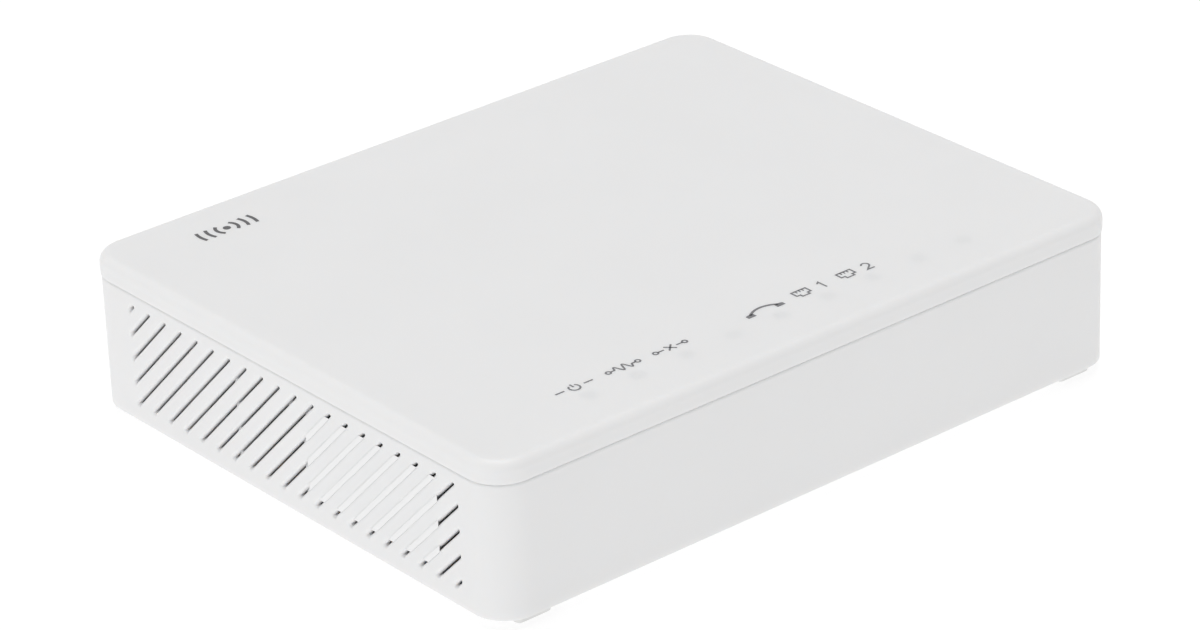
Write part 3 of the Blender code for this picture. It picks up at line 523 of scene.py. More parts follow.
PLAIN_FINISHES = {
    # painted light: plate_white is case white made 5 percent lighter, to brighten the plate
    # set back behind the grille
    "plate_white": dict(colour=shade(CASE_WHITE, 1.05), **CASE_SURFACE),
    "foot_rubber": dict(colour=(0.80, 0.80, 0.79), roughness=0.75, mottle=0.04, grain=0.3),
    "label": dict(colour=(0.74, 0.75, 0.76), roughness=0.38, mottle=0.01),
    "label_line": dict(colour=(0.25, 0.26, 0.27), roughness=0.45, mottle=0.02),
    "ink": dict(colour=(0.20, 0.20, 0.21), roughness=0.55, mottle=0.05, lump=1.5),
    "emblem_ink": dict(colour=(0.12, 0.12, 0.125), roughness=0.5, mottle=0.05, lump=1.5),
    "chip": dict(
        colour=(0.022, 0.022, 0.025), roughness=0.5, mottle=0.08, lump=4.0, grain=0.35
    ),
    "capacitor": dict(colour=(0.03, 0.03, 0.05), roughness=0.38, mottle=0.05),
    "thermal_pad": dict(colour=(0.33, 0.36, 0.40), roughness=0.8, mottle=0.06),
    "aluminium": dict(
        colour=(0.72, 0.73, 0.74), roughness=0.34, metallic=1.0, mottle=0.04,
        stretch=(1.0, 0.05, 1.0),
    ),
    "steel": dict(
        colour=(0.58, 0.58, 0.59), roughness=0.3, metallic=1.0, mottle=0.05, lump=3.0
    ),
    "tin": dict(
        colour=(0.66, 0.66, 0.64), roughness=0.26, metallic=1.0, mottle=0.05, lump=4.0
    ),
    "gold": dict(
        colour=(0.83, 0.60, 0.24), roughness=0.24, metallic=1.0, mottle=0.05, lump=2.0
    ),
    "jack_black": dict(colour=(0.020, 0.020, 0.021), roughness=0.42, mottle=0.06),
    "optical_plastic": dict(colour=(0.02, 0.14, 0.47), roughness=0.38, mottle=0.03),
    "ceramic": dict(colour=(0.86, 0.85, 0.81), roughness=0.2, mottle=0.01),
    "lamp": dict(colour=(0.80, 0.80, 0.68), roughness=0.22, mottle=0.02),
    "plunger": dict(colour=(0.80, 0.79, 0.76), roughness=0.45, mottle=0.02),
    "button": dict(colour=(0.74, 0.74, 0.75), roughness=0.40, mottle=0.01, grain=0.10),
}
FINISHES = {
    name: finish(name, **values).material for name, values in PLAIN_FINISHES.items()
}
FINISHES.update(
    case_white=plastic(finish("case_white", CASE_WHITE, **CASE_SURFACE)).material,
    cover_white=cover_white(), board=board_green(), light_guide=clear_plastic(),
)


def dress_cad_nodes():
    """Every CAD node that stays takes the finish of its slot in the record."""
    for entry in frame["record"]["subparts"]:
        obj = frame["nodes"][entry["node"]]
        obj.data.materials.clear()
        obj.data.materials.append(FINISHES[entry["material_slot"]])


# ---------------------------------------------------------------- case

CORNER_STEPS = 16
REAR_SIDE = CORNER_STEPS + 1          # band index of each flat side of a rounded outline
LEFT_SIDE = 2 * (CORNER_STEPS + 1)
FRONT_SIDE = 3 * (CORNER_STEPS + 1)
RIGHT_SIDE = 0


def side_loop(lower, upper, side):
    return [lower[side - 1], lower[side], upper[side], upper[side - 1]]


def panel_windows():
    """Outlines of the connector windows in the panel."""
    for node in CONNECTORS:
        x, _, z = span(node)
        yield eased(box_outline(wider(x), wider(z)), 0.4, 3)


def keyhole(x):
    """Wall-mount hole: a round entry with a narrow slot behind it."""
    entry, neck, reach, y = 2.8, 1.55, 6.5, 20.0
    start = math.asin(neck / entry)

    def arc(v, radius, first, sweep, steps):
        angles = [first + sweep * i / steps for i in range(steps + 1)]
        return [(x + radius * math.cos(a), v + radius * math.sin(a)) for a in angles]

    outline = arc(y, entry, math.pi / 2 + start, 2 * math.pi - 2 * start, 24)
    return outline + arc(y + reach, neck, 0.0, math.pi, 12)


def base_outline(inset):
    return shrunk(BASE_X, BASE_Y, BASE_RADIUS, inset, CORNER_STEPS)


def inner_outline(growth):
    return rounded(
        (-INNER_X - growth, INNER_X + growth), (INNER_FRONT - growth, PANEL_BACK + growth),
        BASE_RADIUS - WALL + growth, CORNER_STEPS,
    )


def grille(skin, side):
    """The slots of one side wall, in a field where the wall is thinner.

    Returns the slots' rings at the outer face and the field's ring at the inner face."""
    def place(u, v, depth):
        return (side * (BASE_X[1] - depth), u, v)

    outer, inner = [], []
    for index in range(SLOT_COUNT):
        first, last = skin.walk(place, vent_slot(index), through(GRILLE_LIP, GRILLE_WALL, 5))
        outer.append(first)
        inner.append(last)
    field = shrunk(
        GRILLE_Y, (UNDERSIDE + GRILLE_Z[0], UNDERSIDE + GRILLE_Z[1]), 0.0, -GRILLE_MARGIN, 3
    )
    floor, mouth = skin.walk(place, field, [(0.0, GRILLE_WALL), (0.0, WALL)])
    skin.fill(floor, inner)
    return outer, [mouth]


def connector_bay(skin):
    """The sunk bay and its openings. Returns its mouth and the rings at the inner face."""
    place = facing_rear(BASE_Y[1])
    depth = BASE_Y[1] - PANEL_FACE
    bay = rounded(BAY_X, BAY_Z, BAY_CORNER)
    mouth, floor = skin.walk(place, bay, sunk(0.5, depth, 0.4))
    holes = list(panel_windows())
    holes.append(circle(BUTTON_HOLE, (BUTTON_X, BUTTON_Z), 56))
    holes.append(circle(RESET_HOLE, (RESET_X, RESET_Z), 28))
    fronts, backs = [], []
    steps = [(growth, depth + rise) for growth, rise in through(0.25, PANEL_FACE - PANEL_BACK)]
    for hole in holes:
        first, last = skin.walk(place, hole, steps)
        fronts.append(first)
        backs.append(last)
    skin.fill(floor, fronts)
    return mouth, backs


def snap_pockets(skin, places, face, outward):
    """Blind pockets in an inner wall for the cover's hooks."""
    def place(u, v, depth):
        return (u, face + outward * depth, v)

    low = BASE_TOP - TONGUE_DROP + 0.3
    high = low + HOOK_HEIGHT + 0.7
    half = TONGUE_WIDTH / 2 + 0.5
    pockets = [
        eased(box_outline((x - half, x + half), (low, high)), 0.2, 2) for x in places
    ]
    return [skin.blind(place, pocket, sunk(0.1, 0.9)) for pocket in pockets]


def underside_openings(skin):
    """Vents, keyholes, foot and label recesses and screw wells.

    Returns the rings at the underside and at the floor's upper face."""
    def place(u, v, depth):
        return (u, v, UNDERSIDE + depth)

    below, above = [], []
    vents, pitch, width, length, rows = 9, 9.0, 1.8, 16.0, (-34.0, -12.0)
    outlines = [keyhole(x) for x in KEYHOLES]
    for y in rows:
        for index in range(vents):
            x = (index - (vents - 1) / 2) * pitch
            outlines.append(rounded(wider((x, x), width / 2), wider((y, y), length / 2), 0.7))
    for outline in outlines:
        first, last = skin.walk(place, outline, through(0.2, FLOOR))
        below.append(first)
        above.append(last)

    for corner in FEET:
        x, y, z = span(f"foot_{corner}")
        recess = rounded(wider(x), wider(y), FOOT_CORNER + GAP)
        below.append(skin.blind(place, recess, sunk(0.15, z[1] + GAP - UNDERSIDE)))
    recess = rounded(wider(LABEL_X), wider(LABEL_Y), 1.5)
    below.append(skin.blind(place, recess, sunk(0.15, 0.5)))

    bore, boss = CASE_BORE - COUNTERBORE_RADIUS, CASE_BOSS_RADIUS - COUNTERBORE_RADIUS
    well = [(inset, UNDERSIDE + rise) for inset, rise in curl(0.3, 3)]
    well += [
        (0.0, COUNTERBORE_TOP), (bore, COUNTERBORE_TOP), (bore, CASE_BOSS_TOP),
        (boss - 0.3, CASE_BOSS_TOP), (boss, CASE_BOSS_TOP - 0.3), (boss, FLOOR_TOP),
    ]
    for spot in CASE_SCREWS:
        first, last = skin.walk(upright, circle(COUNTERBORE_RADIUS, spot), well)
        below.append(first)
        above.append(last)
    bore = BOARD_BORE - STANDOFF_RADIUS
    standoff = [
        (0.0, FLOOR_TOP), (0.0, STANDOFF_TOP - 0.2), (-0.2, STANDOFF_TOP),
        (bore, STANDOFF_TOP), (bore, FLOOR_TOP + 0.4),
    ]
    for spot in BOARD_SCREWS:
        above.append(skin.blind(upright, circle(STANDOFF_RADIUS, spot), standoff))
    return below, above


def base_fittings(skin):
    """Wall ribs, and the stop behind the plate that closes part of the left grille."""
    for side in (-1, 1):
        x = sorted((side * (GRILLE_INNER + 0.3), side * (INNER_X - 1.4)))
        rib = eased(box_outline(x, RIB_Y), 0.2, 2)
        skin.solid(upright, rib, [(0.0, FLOOR_TOP - 0.3), (0.0, BAY_TOP)])
    x = (-GRILLE_INNER - 0.3, span("vent_baffle")[0][1] + 0.8)
    end = PLATE_Y[1] + GAP
    stop = eased(box_outline(x, (end, end + 1.0)), 0.2, 2)
    skin.solid(upright, stop, [(0.0, FLOOR_TOP - 0.3), (0.0, STOP_TOP)])


def base_shell():
    """The tub: outer and inner walls, rim, grilles, connector bay, floor and fittings."""
    skin = Skin()
    edge, rim_edge, inner_edge = 0.3, 0.6, 0.2
    foot = [skin.level(base_outline(inset), UNDERSIDE + rise) for inset, rise in curl(edge)]
    skin.bands(foot)
    rim_top = COVER_BOTTOM - SEAM
    rim = [
        skin.level(base_outline(inset), rim_top - drop)
        for inset, drop in reversed(curl(rim_edge, 6))
    ]
    for inset, z in ((rim_edge + 0.5, rim_top), (rim_edge + 0.7, BASE_TOP)):
        rim.append(skin.level(base_outline(inset), z))
    rim += [
        skin.level(inner_outline(growth), BASE_TOP - drop)
        for growth, drop in curl(inner_edge, 3)
    ]
    skin.bands(rim)
    low, high = foot[-1], rim[0]
    inner_high, inner_low = rim[-1], skin.level(inner_outline(0.0), FLOOR_TOP)

    perforated = (REAR_SIDE, LEFT_SIDE, RIGHT_SIDE)
    skin.band(low, high, perforated)
    skin.band(inner_low, inner_high, (*perforated, FRONT_SIDE))
    for side, index in ((-1, LEFT_SIDE), (1, RIGHT_SIDE)):
        outer, inner = grille(skin, side)
        skin.fill(side_loop(low, high, index), outer)
        skin.fill(side_loop(inner_low, inner_high, index), inner)
    mouth, backs = connector_bay(skin)
    skin.fill(side_loop(low, high, REAR_SIDE), [mouth])
    backs += snap_pockets(skin, REAR_TONGUES, PANEL_BACK, 1)
    skin.fill(side_loop(inner_low, inner_high, REAR_SIDE), backs)
    skin.fill(
        side_loop(inner_low, inner_high, FRONT_SIDE),
        snap_pockets(skin, FRONT_TONGUES, INNER_FRONT, -1),
    )
    below, above = underside_openings(skin)
    skin.fill(foot[0], below)
    skin.fill(inner_low, above)
    base_fittings(skin)
    piece("base_shell_skin", skin, ["case_white"], replaces=["base_shell"])


def vent_plate():
    """The plate behind the left grille. The heads of its bars follow the slots' lips,
    and end just under the wall's face."""
    skin = Skin()
    (front, rear), (low, high) = PLATE_Y, PLATE_Z
    inner = span("vent_baffle")[0][1]
    outer = GAP - GRILLE_INNER
    outline = [
        (front, low), (rear, low), (rear, TAB_Z[0]), (TAB_REAR, TAB_Z[0]),
        (TAB_REAR, TAB_Z[1]), (rear, TAB_Z[1]), (rear, high), (front, high),
    ]
    skin.solid(along_x, eased(outline, 0.3, 3), [
        (-0.2, outer), (0.0, outer + 0.2), (0.0, inner - 0.2), (-0.2, inner),
    ])

    def place(u, v, depth):
        slide = BAR_SHEAR * (1 - depth / BAR_ROOT)
        return (depth - BASE_X[1], u - slide, v + slide)

    lip = [(inset - 0.01, rise) for inset, rise in reversed(curl(GRILLE_LIP, 5)[2:])]
    steps = [(-0.02, BAR_ROOT), *lip, (0.2, 0.1), (0.0, 0.075)]
    for index in BAR_SLOTS:
        bar = vent_slot(index)
        for a, b, limit in ((-1, 0, -front), (1, 0, rear), (0, -1, -low), (0, 1, high)):
            bar = clip(bar, a, b, limit)
        skin.solid(place, bar, steps)
    piece("vent_plate_skin", skin, ["plate_white"], replaces=["vent_baffle"])


def cover_outline(inset):
    return shrunk(COVER_X, COVER_Y, COVER_RADIUS, inset, COVER_STEPS)


def rim_outline(inset):
    return shrunk(
        (GAP - INNER_X, INNER_X - GAP), (INNER_FRONT + GAP, PANEL_BACK - GAP),
        BASE_RADIUS - WALL - GAP, inset, COVER_STEPS,
    )


def window_x(index):
    return WINDOW_FIRST_X + index * WINDOW_PITCH


def cover_fittings(skin):
    """Snap tongues, screw posts, ribs and heat stakes under the roof."""
    front, rear = INNER_FRONT + GAP, PANEL_BACK - GAP
    tongue_low = BASE_TOP - TONGUE_DROP
    hook = tongue_low + 0.7
    root = ROOF_UNDERSIDE + 0.3
    for wall, outward, places in ((front, -1, FRONT_TONGUES), (rear, 1, REAR_TONGUES)):
        inward = wall - outward * (LIP_THICKNESS - 0.1)
        face = wall - outward * 0.1
        tip = wall + outward * HOOK_REACH
        profile = [
            (inward, root), (inward, tongue_low), (face, tongue_low),
            (tip, hook + HOOK_HEIGHT * 0.7), (tip, hook + HOOK_HEIGHT),
            (face, hook + HOOK_HEIGHT), (face, root),
        ]
        for x in places:
            skin.solid(
                along_x, profile, [(0.0, x - TONGUE_WIDTH / 2), (0.0, x + TONGUE_WIDTH / 2)]
            )
    bore = CASE_BORE - POST_RADIUS
    foot = CASE_BOSS_TOP + GAP
    for spot in CASE_SCREWS:
        skin.solid(upright, circle(POST_RADIUS, spot), [
            (0.0, root), (0.0, foot + 0.3), (-0.3, foot), (bore, foot),
            (bore, CASE_BOSS_TOP + 10.5),
        ])
    for y in ROOF_RIBS:
        rib = box_outline((-60.0, 60.0), (y - 0.6, y + 0.6))
        skin.solid(upright, rib, [
            (-0.15, ROOF_UNDERSIDE - 2), (0.0, ROOF_UNDERSIDE - 1.8), (0.0, root),
        ])
    for index in STAKES:
        stake = circle(0.9, (window_x(index), WINDOW_Y), 20)
        skin.solid(upright, stake, [(0.0, root), (0.0, STAKE_TIP + 0.2), (-0.2, STAKE_TIP)])


def top_cover():
    """The lid: shell, inner rim, light windows and fittings."""
    skin = Skin()
    levels = [
        (cover_outline(inset), CASE_TOP - drop) for inset, drop in curl(COVER_FILLET, 10)
    ]
    levels += [
        (cover_outline(inset), COVER_BOTTOM + rise) for inset, rise in reversed(curl(0.25, 4))
    ]
    levels += [
        (cover_outline(SKIRT - 0.15), COVER_BOTTOM),
        (cover_outline(SKIRT), COVER_BOTTOM + 0.15),
        (cover_outline(SKIRT), ROOF_UNDERSIDE), (rim_outline(0.0), ROOF_UNDERSIDE),
        (rim_outline(0.0), BASE_TOP - LIP_DROP + 0.3), (rim_outline(0.3), BASE_TOP - LIP_DROP),
        (rim_outline(LIP_THICKNESS), BASE_TOP - LIP_DROP),
        (rim_outline(LIP_THICKNESS), ROOF_UNDERSIDE),
    ]
    rings = [skin.level(outline, z) for outline, z in levels]
    skin.bands(rings)
    skin.fill(rings[0])
    thin = [(0.0, ROOF_UNDERSIDE), (0.0, CASE_TOP - WINDOW_SKIN)]
    skin.fill(rings[-1], [
        skin.blind(upright, circle(WINDOW_RADIUS, (window_x(index), WINDOW_Y), 24), thin)
        for index in range(WINDOW_COUNT)
    ])
    cover_fittings(skin)
    piece("top_cover_skin", skin, ["cover_white"], replaces=["top_cover"])


def feet():
    """Soft pads with a round lower edge."""
    for corner in FEET:
        x, y, z = span(f"foot_{corner}")
        skin = Skin()
        outline = rounded(x, y, FOOT_CORNER, 10)
        steps = [(-inset, rise) for inset, rise in curl(0.45, 5)] + [(0.0, z[1])]
        skin.solid(upright, outline, steps)
        piece(
            f"foot_{corner}_skin", skin, ["foot_rubber"],
            replaces=[f"foot_{corner}"],
        )


# ---------------------------------------------------------------- print

INK_LIFT, INK_THICKNESS = 0.005, 0.02
MARK_Y, MARK_LINE = -47.4, 0.36
EMBLEM_PLACE, EMBLEM_LINE = (-51.9, 50.8), 0.7
LABEL_LINE, LABEL_ROWS, LABEL_ROW_PITCH = 0.25, 4, 7.5


class Print:
    """Flat ink on a surface. place maps (u, v, height) onto the object."""

    def __init__(self, place, width):
        self.skin, self.place, self.width = Skin(), place, width

    def line(self, points, closed=False, width=None):
        """A line of even width along points."""
        half = (width or self.width) / 2
        count = len(points)
        rings = []
        for i, point in enumerate(points):
            here = Vector(point)
            before = Vector(points[i - 1]) if i or closed else None
            after = Vector(points[(i + 1) % count]) if i < count - 1 or closed else None
            first = (here - before).normalized() if before else (after - here).normalized()
            second = (after - here).normalized() if after else first
            left = Vector((-first.y - second.y, first.x + second.x))
            left = left * half / (1 + first.dot(second))
            rings.append(self.skin.ring([
                self.place(*(here + left * side), height)
                for side, height in (
                    (1, INK_LIFT), (-1, INK_LIFT), (-1, INK_THICKNESS), (1, INK_THICKNESS),
                )
            ]))
        self.skin.bands(rings)
        if closed:
            self.skin.band(rings[-1], rings[0])
        else:
            self.skin.fill(rings[0])
            self.skin.fill(rings[-1])

    def arc(self, centre, radius, start, end, steps=20, width=None):
        """An arc between two angles in degrees, or a full ring."""
        full = abs(end - start) >= 360
        angles = [
            math.radians(start + (end - start) * i / steps) for i in range(steps + (not full))
        ]
        points = [
            (centre[0] + radius * math.cos(angle), centre[1] + radius * math.sin(angle))
            for angle in angles
        ]
        self.line(points, full, width)

    def plate(self, outline):
        """A filled shape."""
        self.skin.solid(self.place, outline, [(0.0, INK_LIFT), (0.0, INK_THICKNESS)])


def on_cover(x, y):
    return lambda u, v, height: (x + u, y + v, CASE_TOP + height)


def power_mark(ink):
    """A ring with a gap at the top, and a bar in the gap."""
    ink.arc((0.0, -0.1), 1.1, 125, 415)
    ink.line([(0.0, 0.1), (0.0, 1.35)])


def fibre_ends(ink, reach):
    """The two ends of a fibre: a small ring with a short line towards the middle."""
    for side in (-1, 1):
        ink.arc((side * 3.5, 0.0), 0.5, 0, 360)
        ink.line([(side * 3.0, 0.0), (side * reach, 0.0)])


def optical_mark(ink):
    """A fibre with a wave in its middle."""
    fibre_ends(ink, 2.0)
    steps = 32
    ink.line([
        (-2.0 + 4.0 * i / steps, math.sin(4 * math.pi * i / steps)) for i in range(steps + 1)
    ])


def signal_loss_mark(ink):
    """A fibre with a cross in its middle."""
    fibre_ends(ink, 1.5)
    for side in (-1, 1):
        ink.line([(-0.9, -0.9 * side), (0.9, 0.9 * side)])


def phone_mark(ink):
    """A handset lying on its back."""
    ink.arc((0.0, -4.6), 5.4, 50, 130, 24, 0.55)
    for side in (-1, 1):
        cup = [(-0.95, -0.55), (0.95, -0.55), (0.95, 0.35), (0.5, 0.55), (-0.95, 0.55)]
        shifted = [(side * (3.6 + u), v - 0.75) for u, v in cup]
        if side < 0:
            shifted.reverse()
        ink.plate(shifted)


def network_mark(ink, number):
    """The mouth of a network socket and the port's number."""
    right = [(0.9, -1.2), (0.9, -0.5), (1.75, -0.5), (1.75, 1.2)]
    mouth = right + [(-u, v) for u, v in reversed(right)]
    ink.line([(u - 2.5, v) for u, v in mouth], True)
    for u in (-3.3, -2.5, -1.7):
        ink.line([(u, 1.2), (u, 0.45)], width=0.28)
    if number == 1:
        ink.line([(1.9, 0.75), (2.6, 1.25), (2.6, -1.25)])
    else:
        top = [
            (2.6 + 0.8 * math.cos(math.radians(a)), 0.45 + 0.8 * math.sin(math.radians(a)))
            for a in range(160, -41, -20)
        ]
        ink.line(top + [(1.75, -1.25), (3.5, -1.25)])


def cover_marks():
    """Indicator marks along the front edge, one over each light window in use."""
    marks = {
        0: ("power", 0.0, power_mark),
        1: ("optical", 0.0, optical_mark),
        2: ("signal_loss", -0.3, signal_loss_mark),
        4: ("phone", -0.8, phone_mark),
        5: ("lan_1", 0.0, lambda ink: network_mark(ink, 1)),
        6: ("lan_2", -0.3, lambda ink: network_mark(ink, 2)),
    }
    for index, (name, shift, draw) in marks.items():
        ink = Print(on_cover(window_x(index) + shift, MARK_Y), MARK_LINE)
        draw(ink)
        if name == "power":
            for side in (-1, 1):
                ink.line([(side * 2.3, 0.0), (side * 4.4, 0.0)])
        piece(f"mark_{name}", ink.skin, ["ink"])


def emblem():
    """A generic pulse: a dot with arcs spreading to both sides."""
    ink = Print(on_cover(*EMBLEM_PLACE), EMBLEM_LINE)
    ink.plate(circle(0.8, segments=24))
    for radius, half_angle in ((2.3, 48), (4.3, 26), (6.3, 17.5)):
        ink.arc((0, 0), radius, -half_angle, half_angle)
        ink.arc((0, 0), radius, 180 - half_angle, 180 + half_angle)
    piece("emblem", ink.skin, ["emblem_ink"])


def label_print():
    """A thin frame and empty fields on the rating label: no writing."""
    ink = Print(lambda u, v, height: (u, v, LABEL_Z[0] - height), LABEL_LINE)
    ink.line(shrunk(LABEL_X, LABEL_Y, 1.2, 1.5, 4), True)
    for row in range(LABEL_ROWS):
        v = LABEL_Y[1] - 8.0 - row * LABEL_ROW_PITCH
        ink.line([(LABEL_X[0] + 4.0, v), (LABEL_X[1] - 22.0, v)])
    ink.line(box_outline((LABEL_X[1] - 18.0, LABEL_X[1] - 4.0), (17.0, 31.0)), True)
    piece("label_print", ink.skin, ["label_line"])


# ---------------------------------------------------------------- connectors

SOCKET_DEPTH, SOCKET_FLOOR, SOCKET_HEIGHT = 13.5, 4.2, 6.9
SOCKET_WIDTHS = {8: 11.9, 4: 9.8}      # by the number of contacts
CONTACT_PITCH = 1.02
BACK_WALL = 0.4                        # left behind the deepest bore of a connector
INLET_DEPTH, INLET_RADIUS, INLET_BORE = 9.5, 3.15, 1.35
SLEEVE_RADIUS, SLEEVE_BORE, SLEEVE_FRONT = 2.5, 1.9, 4.6


def housing(skin, node, mouth, depth, lip):
    """A box with eased edges and one blind opening with a round lip in its rear face.

    Returns the ring at the opening's floor."""
    x, y, z = span(node)
    place = facing_rear(y[1])
    outline = eased(box_outline(x, z), 0.35, 3)
    edge = [(-inset, rise) for inset, rise in curl(0.3, 3)]
    front, back = skin.walk(place, outline, edge + [(0.0, y[1] - y[0])])
    skin.fill(back)
    opening, floor = skin.walk(place, mouth, through(lip, depth))
    skin.fill(front, [opening])
    return floor


def contact_springs(skin, x, roof, contacts):
    """Bent wires that hang from the socket's roof and slant towards its back."""
    wire, thick = 0.38, 0.28
    front, back = PANEL_FACE - 3.2, PANEL_FACE - SOCKET_DEPTH + 0.8
    path = [
        (front, roof - 0.55), (front - 0.5, roof - 0.85), (back + 3.0, roof - 2.55),
        (back + 2.2, roof - 2.75), (back + 1.4, roof - 2.55), (back, roof - 2.0),
    ]
    outline = path + [(y, z + thick) for y, z in reversed(path)]
    for i in range(contacts):
        at = x + (i - (contacts - 1) / 2) * CONTACT_PITCH
        skin.solid(along_x, outline, [(0.0, at - wire / 2), (0.0, at + wire / 2)])


def modular_jack(name, contacts):
    """A socket with a notch for the plug's latch, and its contacts on a strip."""
    x, _, z = span(f"{name}_jack")
    centre = sum(x) / 2
    half = SOCKET_WIDTHS[contacts] / 2
    floor = z[0] + SOCKET_FLOOR
    roof = floor + SOCKET_HEIGHT
    notch, notch_depth, step, step_depth = 3.1, 1.6, 1.7, 2.9
    right = [
        (step, floor - step_depth), (step, floor - notch_depth), (notch, floor - notch_depth),
        (notch, floor), (half, floor), (half, roof),
    ]
    mouth = [(centre + u, v) for u, v in right] + [(centre - u, v) for u, v in reversed(right)]
    skin = Skin()
    back = housing(skin, f"{name}_jack", eased(mouth, 0.15, 2), SOCKET_DEPTH, 0.3)
    skin.fill(back)
    piece(
        f"{name}_jack_skin", skin, ["jack_black"], replaces=[f"{name}_jack"]
    )

    skin = Skin()
    wide = contacts / 2 * CONTACT_PITCH + 0.4
    strip = eased(box_outline(
        (PANEL_FACE - SOCKET_DEPTH + GAP, PANEL_FACE - 2.5), (roof - GAP - 1.1, roof - GAP)
    ), 0.2, 2)
    skin.solid(along_x, strip, [(0.0, centre - wide), (0.0, centre + wide)])
    skin.slot = 1
    contact_springs(skin, centre, roof - GAP - 0.5, contacts)
    piece(
        f"{name}_contacts_skin", skin, ["jack_black", "gold"],
        replaces=[f"{name}_contacts"],
    )


def optical_receptacle():
    """Blue receptacle: keyed port, sleeve holder and two latch arms."""
    y = span("optical_receptacle")[1]
    centre = middle("optical_receptacle")
    half_width, half_height, key = 4.6, 3.6, 1.3
    right = [
        (half_width, -half_height), (half_width, half_height), (key, half_height),
        (key, half_height + 0.55),
    ]
    port = [(centre[0] + u, centre[1] + v) for u, v in right]
    port += [(centre[0] - u, centre[1] + v) for u, v in reversed(right)]
    skin = Skin()
    depth = PANEL_FACE - y[0] - 4.0
    floor = housing(skin, "optical_receptacle", eased(port, 0.2, 2), depth, 0.25)
    bore = SLEEVE_BORE - SLEEVE_RADIUS
    sleeve = skin.blind(facing_rear(y[1]), circle(SLEEVE_RADIUS, centre, 36), [
        (0.0, depth), (0.0, SLEEVE_FRONT + 0.2), (-0.2, SLEEVE_FRONT), (bore, SLEEVE_FRONT),
        (bore, y[1] - y[0] - BACK_WALL),
    ])
    skin.fill(floor, [sleeve])
    for side in (-1, 1):
        arm = [
            (y[1] - depth, 0.0), (y[1] - 3.4, 0.0), (y[1] - 2.9, 0.35), (y[1] - 3.6, 1.0),
            (y[1] - 4.2, 0.55), (y[1] - depth, 0.55),
        ]
        wall = centre[0] + side * 4.5
        outline = [(wall - side * reach, along) for along, reach in arm]
        if side < 0:
            outline.reverse()
        skin.solid(upright, outline, [(0.0, centre[1] - 1.1), (0.0, centre[1] + 1.1)])
    piece(
        "optical_receptacle_skin", skin, ["optical_plastic"],
        replaces=["optical_receptacle"],
    )


def power_inlet():
    """A round inlet, and the pin in its middle."""
    x, y, _ = span("power_inlet")
    low, high = span("power_inlet_pin")[1]
    centre = (sum(x) / 2, middle("power_inlet_pin")[1])
    skin = Skin()
    mouth = circle(INLET_RADIUS, centre, 48)
    floor = housing(skin, "power_inlet", mouth, INLET_DEPTH, 0.5)
    bore = skin.blind(
        facing_rear(y[1]), circle(INLET_BORE, centre, 24),
        [(0.0, INLET_DEPTH), (0.0, y[1] - y[0] - BACK_WALL)],
    )
    skin.fill(floor, [bore])
    piece("power_inlet_skin", skin, ["jack_black"], replaces=["power_inlet"])
    skin = Skin()
    profile = [(1.05, low), (1.05, high - 0.5), (0.9, high - 0.2), (0.6, high), (0.25, high)]
    skin.turned(along_y, profile, centre, 28)
    piece("power_inlet_pin_skin", skin, ["tin"], replaces=["power_inlet_pin"])


def power_button():
    """The cap with its dished face and a printed power mark. Both ride on the button."""
    x, y, z = span("power_button_cap")
    centre = (BUTTON_X, BUTTON_Z)
    radius = (z[1] - z[0]) / 2
    outer, root = y[1], y[0]
    skin = Skin()
    rings = [
        (radius, root), (radius, outer - 0.5), (radius - 0.07, outer - 0.25),
        (radius - 0.25, outer - 0.07), (radius - 0.5, outer), (radius - 0.8, outer - 0.05),
        (radius - 1.6, outer - 0.16), (radius - 2.6, outer - 0.24),
    ]
    skin.turned(along_y, rings, centre, 64)
    ears = rounded(x, (z[0] + radius - 2.5, z[1] - radius + 2.5), 0.5, 3)
    skin.solid(along_y, ears, [(-0.1, root), (0.0, root + 0.1), (0.0, root + 1.2)])
    piece(
        "power_button_cap_skin", skin, ["button"], "power_button",
        replaces=["power_button_cap"],
    )
    face = outer - 0.23
    ink = Print(
        lambda u, v, height: (BUTTON_X - u, face + 0.05 + height, BUTTON_Z + v), 0.26
    )
    power_mark(ink)
    piece("power_button_mark", ink.skin, ["ink"], "power_button")


# ---------------------------------------------------------------- staging

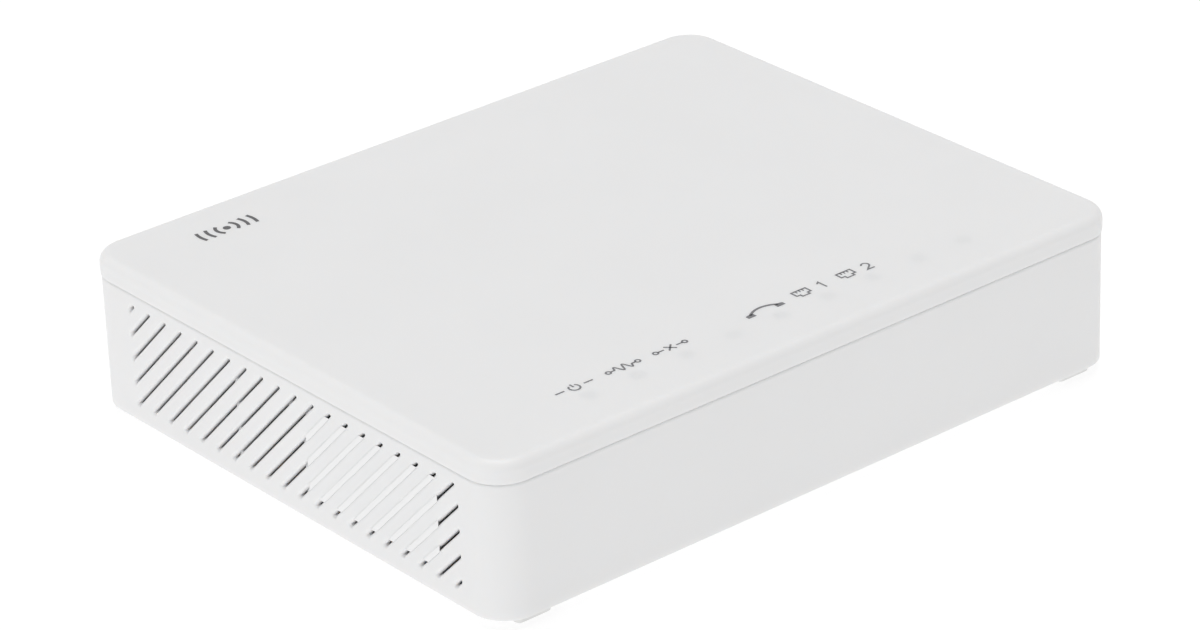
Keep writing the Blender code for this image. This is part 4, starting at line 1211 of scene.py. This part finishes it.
def camera():
    """A long lens, low over the front left corner."""
    turn, rise, roll = -0.685, 0.4611, -0.0365
    aside, above, distance = -1.3208, 12.033, 965.8
    flat = math.cos(rise)
    back = Vector((math.sin(turn) * flat, -math.cos(turn) * flat, math.sin(rise)))
    right = Vector((math.cos(turn), math.sin(turn), 0.0))
    up = back.cross(right)
    level = right * math.cos(roll) + up * math.sin(roll)
    plumb = up * math.cos(roll) - right * math.sin(roll)
    place = level * aside + plumb * above + back * distance + Vector((0, 0, UNDERSIDE))
    data = bpy.data.cameras.new("camera")
    data.sensor_width, data.lens = 36.0, 148.6
    data.clip_start, data.clip_end = 0.05, 20.0
    obj = bpy.data.objects.new("camera", data)
    obj.matrix_world = Matrix((
        (level.x, plumb.x, back.x, place.x * MM),
        (level.y, plumb.y, back.y, place.y * MM),
        (level.z, plumb.z, back.z, place.z * MM),
        (0.0, 0.0, 0.0, 1.0),
    ))
    bpy.context.scene.collection.objects.link(obj)
    bpy.context.scene.camera = obj


def area_light(name, place, aim, size, power):
    data = bpy.data.lights.new(name, "AREA")
    data.shape, data.size, data.energy = "DISK", size, power
    obj = bpy.data.objects.new(name, data)
    obj.location = place
    obj.rotation_euler = (Vector(aim) - Vector(place)).to_track_quat("-Z", "Y").to_euler()
    bpy.context.scene.collection.objects.link(obj)


def stage():
    """White floor, white surroundings and soft lamps."""
    mesh = bpy.data.meshes.new("floor")
    reach = (-3.0, 3.0)
    mesh.from_pydata([(u, v, 0) for u, v in box_outline(reach, reach)], [], [(0, 1, 2, 3)])
    floor = bpy.data.objects.new("floor", mesh)
    bpy.context.scene.collection.objects.link(floor)
    paint = finish("floor_white", (0.36, 0.36, 0.36), 0.7, mottle=0.004, lump=90.0)
    paint.shader.inputs["Emission Color"].default_value = (1.0, 1.0, 1.0, 1.0)
    paint.shader.inputs["Emission Strength"].default_value = 0.70
    mesh.materials.append(paint.material)
    world = bpy.data.worlds.new("studio")
    bpy.context.scene.world = world
    world.use_nodes = True
    background = world.node_tree.nodes["Background"]
    background.inputs["Color"].default_value = (1.0, 1.0, 1.0, 1.0)
    background.inputs["Strength"].default_value = 0.60
    aim = (0, 0, 0.015)
    area_light("lamp_key", (-1.2, -0.4, 0.25), aim, 0.8, 2.2)
    area_light("lamp_above", (0.1, 0.25, 2.2), aim, 1.4, 17.0)
    bpy.context.scene.view_settings.view_transform = "Standard"


camera()
dress_cad_nodes()
base_shell()
vent_plate()
top_cover()
feet()
cover_marks()
emblem()
label_print()
for jack, ways in (("lan_1", 8), ("lan_2", 8), ("phone", 4)):
    modular_jack(jack, ways)
optical_receptacle()
power_inlet()
power_button()
stage()
